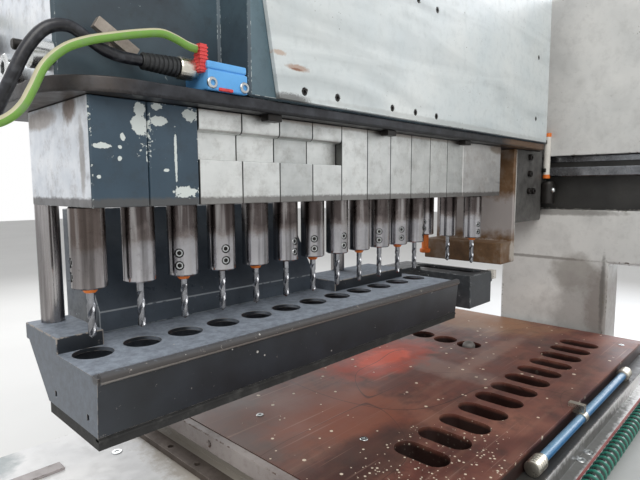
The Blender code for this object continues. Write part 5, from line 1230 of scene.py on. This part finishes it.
turned(nut, [(0, 0), (5.6, 0), (6.2, 0.7), (6.2, nut_length - 0.7), (5.6, nut_length), (0, nut_length)],
       in_line(NUT_LEFT, *PLUG_AXIS), "X", 24)
turned(nut, [(0, 0), (4.4, 0), (4.4, neck), (0, neck)], in_line(NUT_RIGHT - 0.2, *PLUG_AXIS), "X", 24)
finished("plug_nut", nut, "head", nickel, smooth_angle=10)
print("plug made")

# %% [markdown]
# At the left-hand end two large bright screws hold the housing, with a black knob and a slanted bar between
# them. The glands where the cable and the wire go in are nuts with few sides, turned with only twelve
# steps.

# %% Left-hand end: screws, knob, angle bar and glands
HOUSING_SCREWS = [(-24, -23.5, 418.0), (-24, 17.0, 416.5)]
END_KNOB_PROFILE = [(0, -0.3), (2.2, -0.3), (2.2, 3), (3.0, 3.6), (3.0, 8.4), (2.4, 9), (0, 9)]
cap_screws("housing_screws", HOUSING_SCREWS, "-X", 7.8, 10.5, "head", bright_zinc)
spun("left_end_knob", END_KNOB_PROFILE, in_line(-24, 3.8, 427.2), "-X", 32, "head", black_oxide)

BAR_LEFT, BAR_RIGHT, BAR_FOOT, BAR_WIDTH, BAR_DROP, BAR_RISE = -8.0, 17.0, 425, 6.5, 15.0, 0.6
BAR_STOP = ((1.5, 12.0), (-37, -29.5), (424.5, 429.0))
bar_steel = machined("dull_plated_bar", "#8B8279", "#B3AAA0", (0.2, 1, 1), 1.5, 0.4, "#4E4238", 0.6,
                     metallic=0.5)
bar = bmesh.new()
block(bar, (BAR_LEFT, BAR_RIGHT), (-41, -36.5), (BAR_FOOT, BAR_FOOT + BAR_WIDTH))
slope = Matrix.Rotation(math.atan2(BAR_DROP, BAR_RIGHT - BAR_LEFT), 3, "Y")
centre = in_line((BAR_LEFT + BAR_RIGHT) / 2, -38, BAR_FOOT + BAR_WIDTH / 2)
bmesh.ops.rotate(bar, verts=bar.verts, cent=centre, matrix=slope)
bmesh.ops.translate(bar, verts=bar.verts, vec=(0, 0, BAR_RISE * MM))
block(bar, *BAR_STOP)
rounded(bar, 0.4)
finished("angle_bar", bar, "head", bar_steel)

GLANDS = ((67, 440, 7.6), (80, 458, 6.1))
glands = bmesh.new()
for y, z, radius in GLANDS:
    turned(glands, [(0, -0.3), (radius, -0.3), (radius, 3.5), (radius - 1.2, 4.2), (radius - 1.2, 7.4),
                    (radius - 2.0, 8.2), (0, 8.2)], in_line(-24, y, z), "-X", 12)
finished("gland_nuts", glands, "head", boot_rubber, smooth_angle=20)
print("left-hand end made")

# %% [markdown]
# Along the table's front edge runs a blue polyamide air tube between two fluted push-in fittings, held by a
# steel clip. On the bed in front of it lies a green ribbed conduit, bright green on its ridges as a painted
# highlight and near black between them, painted shade with some dirt. Both are turned shapes; the ridges are
# rings at an even pitch.

# %% Finishes of the tube and the conduit
def polyamide():
    """Extruded polyamide: a smooth gloss, faintly clouded by dust on its upper side."""
    material, tree, shader, place = start("blue_polyamide_tube")
    facing = add(tree, "SeparateXYZ", {0: add(tree, "NewGeometry").outputs["Normal"]})
    dust = add(tree, "TexNoise", {"Vector": place, "Scale": size(5), "Detail": 7})
    up = add(tree, "MapRange", {"Value": facing.outputs["Z"], "From Min": 0.4, "From Max": 1.0})
    pale = add(tree, "Math", {0: up, 1: dust}, operation="MULTIPLY")
    colour = tinted(tree, linear("#2A6C9E"), [(pale, "#9CC0D6")])
    add(tree, shader, {"Base Color": colour, "Roughness": 0.28, "IOR": 1.53})
    return material


def ribbed_green():
    """Glossy green PVC: bright green on the ridges as a painted highlight, near black between them as painted
    shade with some dirt.
    """
    material, tree, shader, place = start("green_ribbed_pvc")
    ridge = add(tree, "Attribute", attribute_name="ridge")
    dirt = add(tree, "TexNoise", {"Vector": place, "Scale": size(4), "Detail": 8})
    level = add(tree, "Math", {0: dirt, 1: 0.35, 2: ridge.outputs["Fac"]}, operation="MULTIPLY_ADD")
    # The ramp paints the ridges bright as a highlight and the grooves near black as shade.
    colour = add(tree, "ValToRGB", {"Fac": level}, stops=[(0.2, "#0A1211"), (0.7, "#0C4237"),
                                                          (1.1, "#177562")])
    add(tree, shader, {"Base Color": colour, "Roughness": 0.2, "IOR": 1.53})
    return material


def ends(node):
    """The middle of a bar's left-hand end, and its length in mm."""
    low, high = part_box(node)
    return Vector((low.x, (low.y + high.y) / 2, (low.z + high.z) / 2)), (high.x - low.x) / MM


# %% Air tube
TUBE_RADIUS, FITTING_RADIUS, FITTING_LENGTH, FITTING_RINGS, RING_PITCH = 3.75, 6.0, 18.0, 5, 3.2
TUBE_START, TUBE_LENGTH = ends("air_tube")
CLIP = ((336, 342), (-184, -171), (154.5, 162.5))
CLIP_RING = [(0, 108), (4.7, 108), (4.7, 116), (0, 116)]
tube = [(0, 2), (TUBE_RADIUS, 2), (TUBE_RADIUS, TUBE_LENGTH - 2), (0, TUBE_LENGTH - 2)]
spun("air_tube_polyamide", tube, TUBE_START, "X", 40, "machine_frame", polyamide(),
     ["air_tube"])
fittings = bmesh.new()
for offset in (0, TUBE_LENGTH - FITTING_LENGTH):
    profile = [(0, offset), (5.0, offset)]
    for k in range(FITTING_RINGS):
        ring = offset + RING_PITCH * k
        profile += [(FITTING_RADIUS, ring + 0.6), (FITTING_RADIUS, ring + 2.2),
                    (FITTING_RADIUS - 1.0, ring + 2.8)]
    profile += [(5.0, offset + FITTING_LENGTH), (0, offset + FITTING_LENGTH)]
    turned(fittings, profile, TUBE_START, "X", 40)
turned(fittings, CLIP_RING, TUBE_START, "X", 32)
block(fittings, *CLIP)
finished("air_tube_fittings", fittings, "machine_frame", nickel)
print("air tube made, mm long:", round(TUBE_LENGTH))

# %% Ribbed conduit
CONDUIT_RADIUS, CONDUIT_PITCH, GROOVE_DEPTH, COLLAR_RADIUS, COLLAR_LENGTH = 6.3, 8.6, 1.8, 7.6, 14.0
RIB_SHAPE = ((0.0, GROOVE_DEPTH), (0.15, 1.5), (0.35, 0.4), (0.5, 0.0), (0.65, 0.4), (0.85, 1.5))
conduit_middle, CONDUIT_LENGTH = ends("ribbed_conduit")
CONDUIT_START = conduit_middle - Vector((0, 5.5, 1.2)) * MM
RIBS_START, RIBS_END = COLLAR_LENGTH - 1, CONDUIT_LENGTH - COLLAR_LENGTH + 1
profile = [(0, RIBS_START)]
for k in range(int((CONDUIT_LENGTH - 2 * COLLAR_LENGTH) / CONDUIT_PITCH) + 1):
    for share, depth in RIB_SHAPE:
        profile.append((CONDUIT_RADIUS - depth, min(RIBS_START + (k + share) * CONDUIT_PITCH, RIBS_END)))
profile.append((0, profile[-1][1]))
conduit = bmesh.new()
turned(conduit, profile, CONDUIT_START, "X", 40)
ridges = conduit.verts.layers.float.new("ridge")
for vert in conduit.verts:
    radius = math.hypot(vert.co.y - CONDUIT_START.y, vert.co.z - CONDUIT_START.z) / MM
    vert[ridges] = max(0.0, min(1.0, (radius - CONDUIT_RADIUS + GROOVE_DEPTH) / GROOVE_DEPTH))
finished("conduit_ribs", conduit, "machine_frame", ribbed_green(), ["ribbed_conduit"], 60)
collars = bmesh.new()
for offset in (0, CONDUIT_LENGTH - COLLAR_LENGTH):
    end = offset + COLLAR_LENGTH
    profile = [(0, offset), (COLLAR_RADIUS - 0.8, offset), (COLLAR_RADIUS, offset + 0.8),
               (COLLAR_RADIUS, end - 0.8), (COLLAR_RADIUS - 0.8, end), (0, end)]
    turned(collars, profile, CONDUIT_START, "X", 40)
finished("conduit_collars", collars, "machine_frame", boot_rubber)
print("conduit made, ridges:", k + 1)

# %% [markdown]
# The gears keep their solids: hobbed steel with a thin film of oil, out of sight in the housing but bright
# if it is opened.

# %% Gears
gear_steel = machined("oiled_gear_steel", "#6E6F70", "#9B9C9D", roughness=0.3, stain="#4A3C28", stains=0.4)
for number in range(1, len(ROW + CROSS_ROW) + 1):
    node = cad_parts[f"gear_{number:02d}"]
    for holder in node.material_slots:
        holder.material = gear_steel
print("gears finished")

# %% [markdown]
# Black screws sit low in some of the cover's holes. Their places are read from the cover: along the row,
# and up from the base plate's top.

# %% Screws in the cover's holes
COVER_PLACES = ((120.4, 8.4), (153.3, 8.4), (219.8, 8.4), (253.2, 8.4), (287.2, 8.4), (255.1, 100.9),
                (285.5, 100), (521, 101), (519, 28))
COVER_SCREWS = [(x, -62.0, BASE_TOP / MM + z) for x, z in COVER_PLACES]
cap_screws("cover_screws", COVER_SCREWS, "-Y", 2.75, 1.5, "head", black_oxide)
print("screws of the cover:", len(COVER_SCREWS))
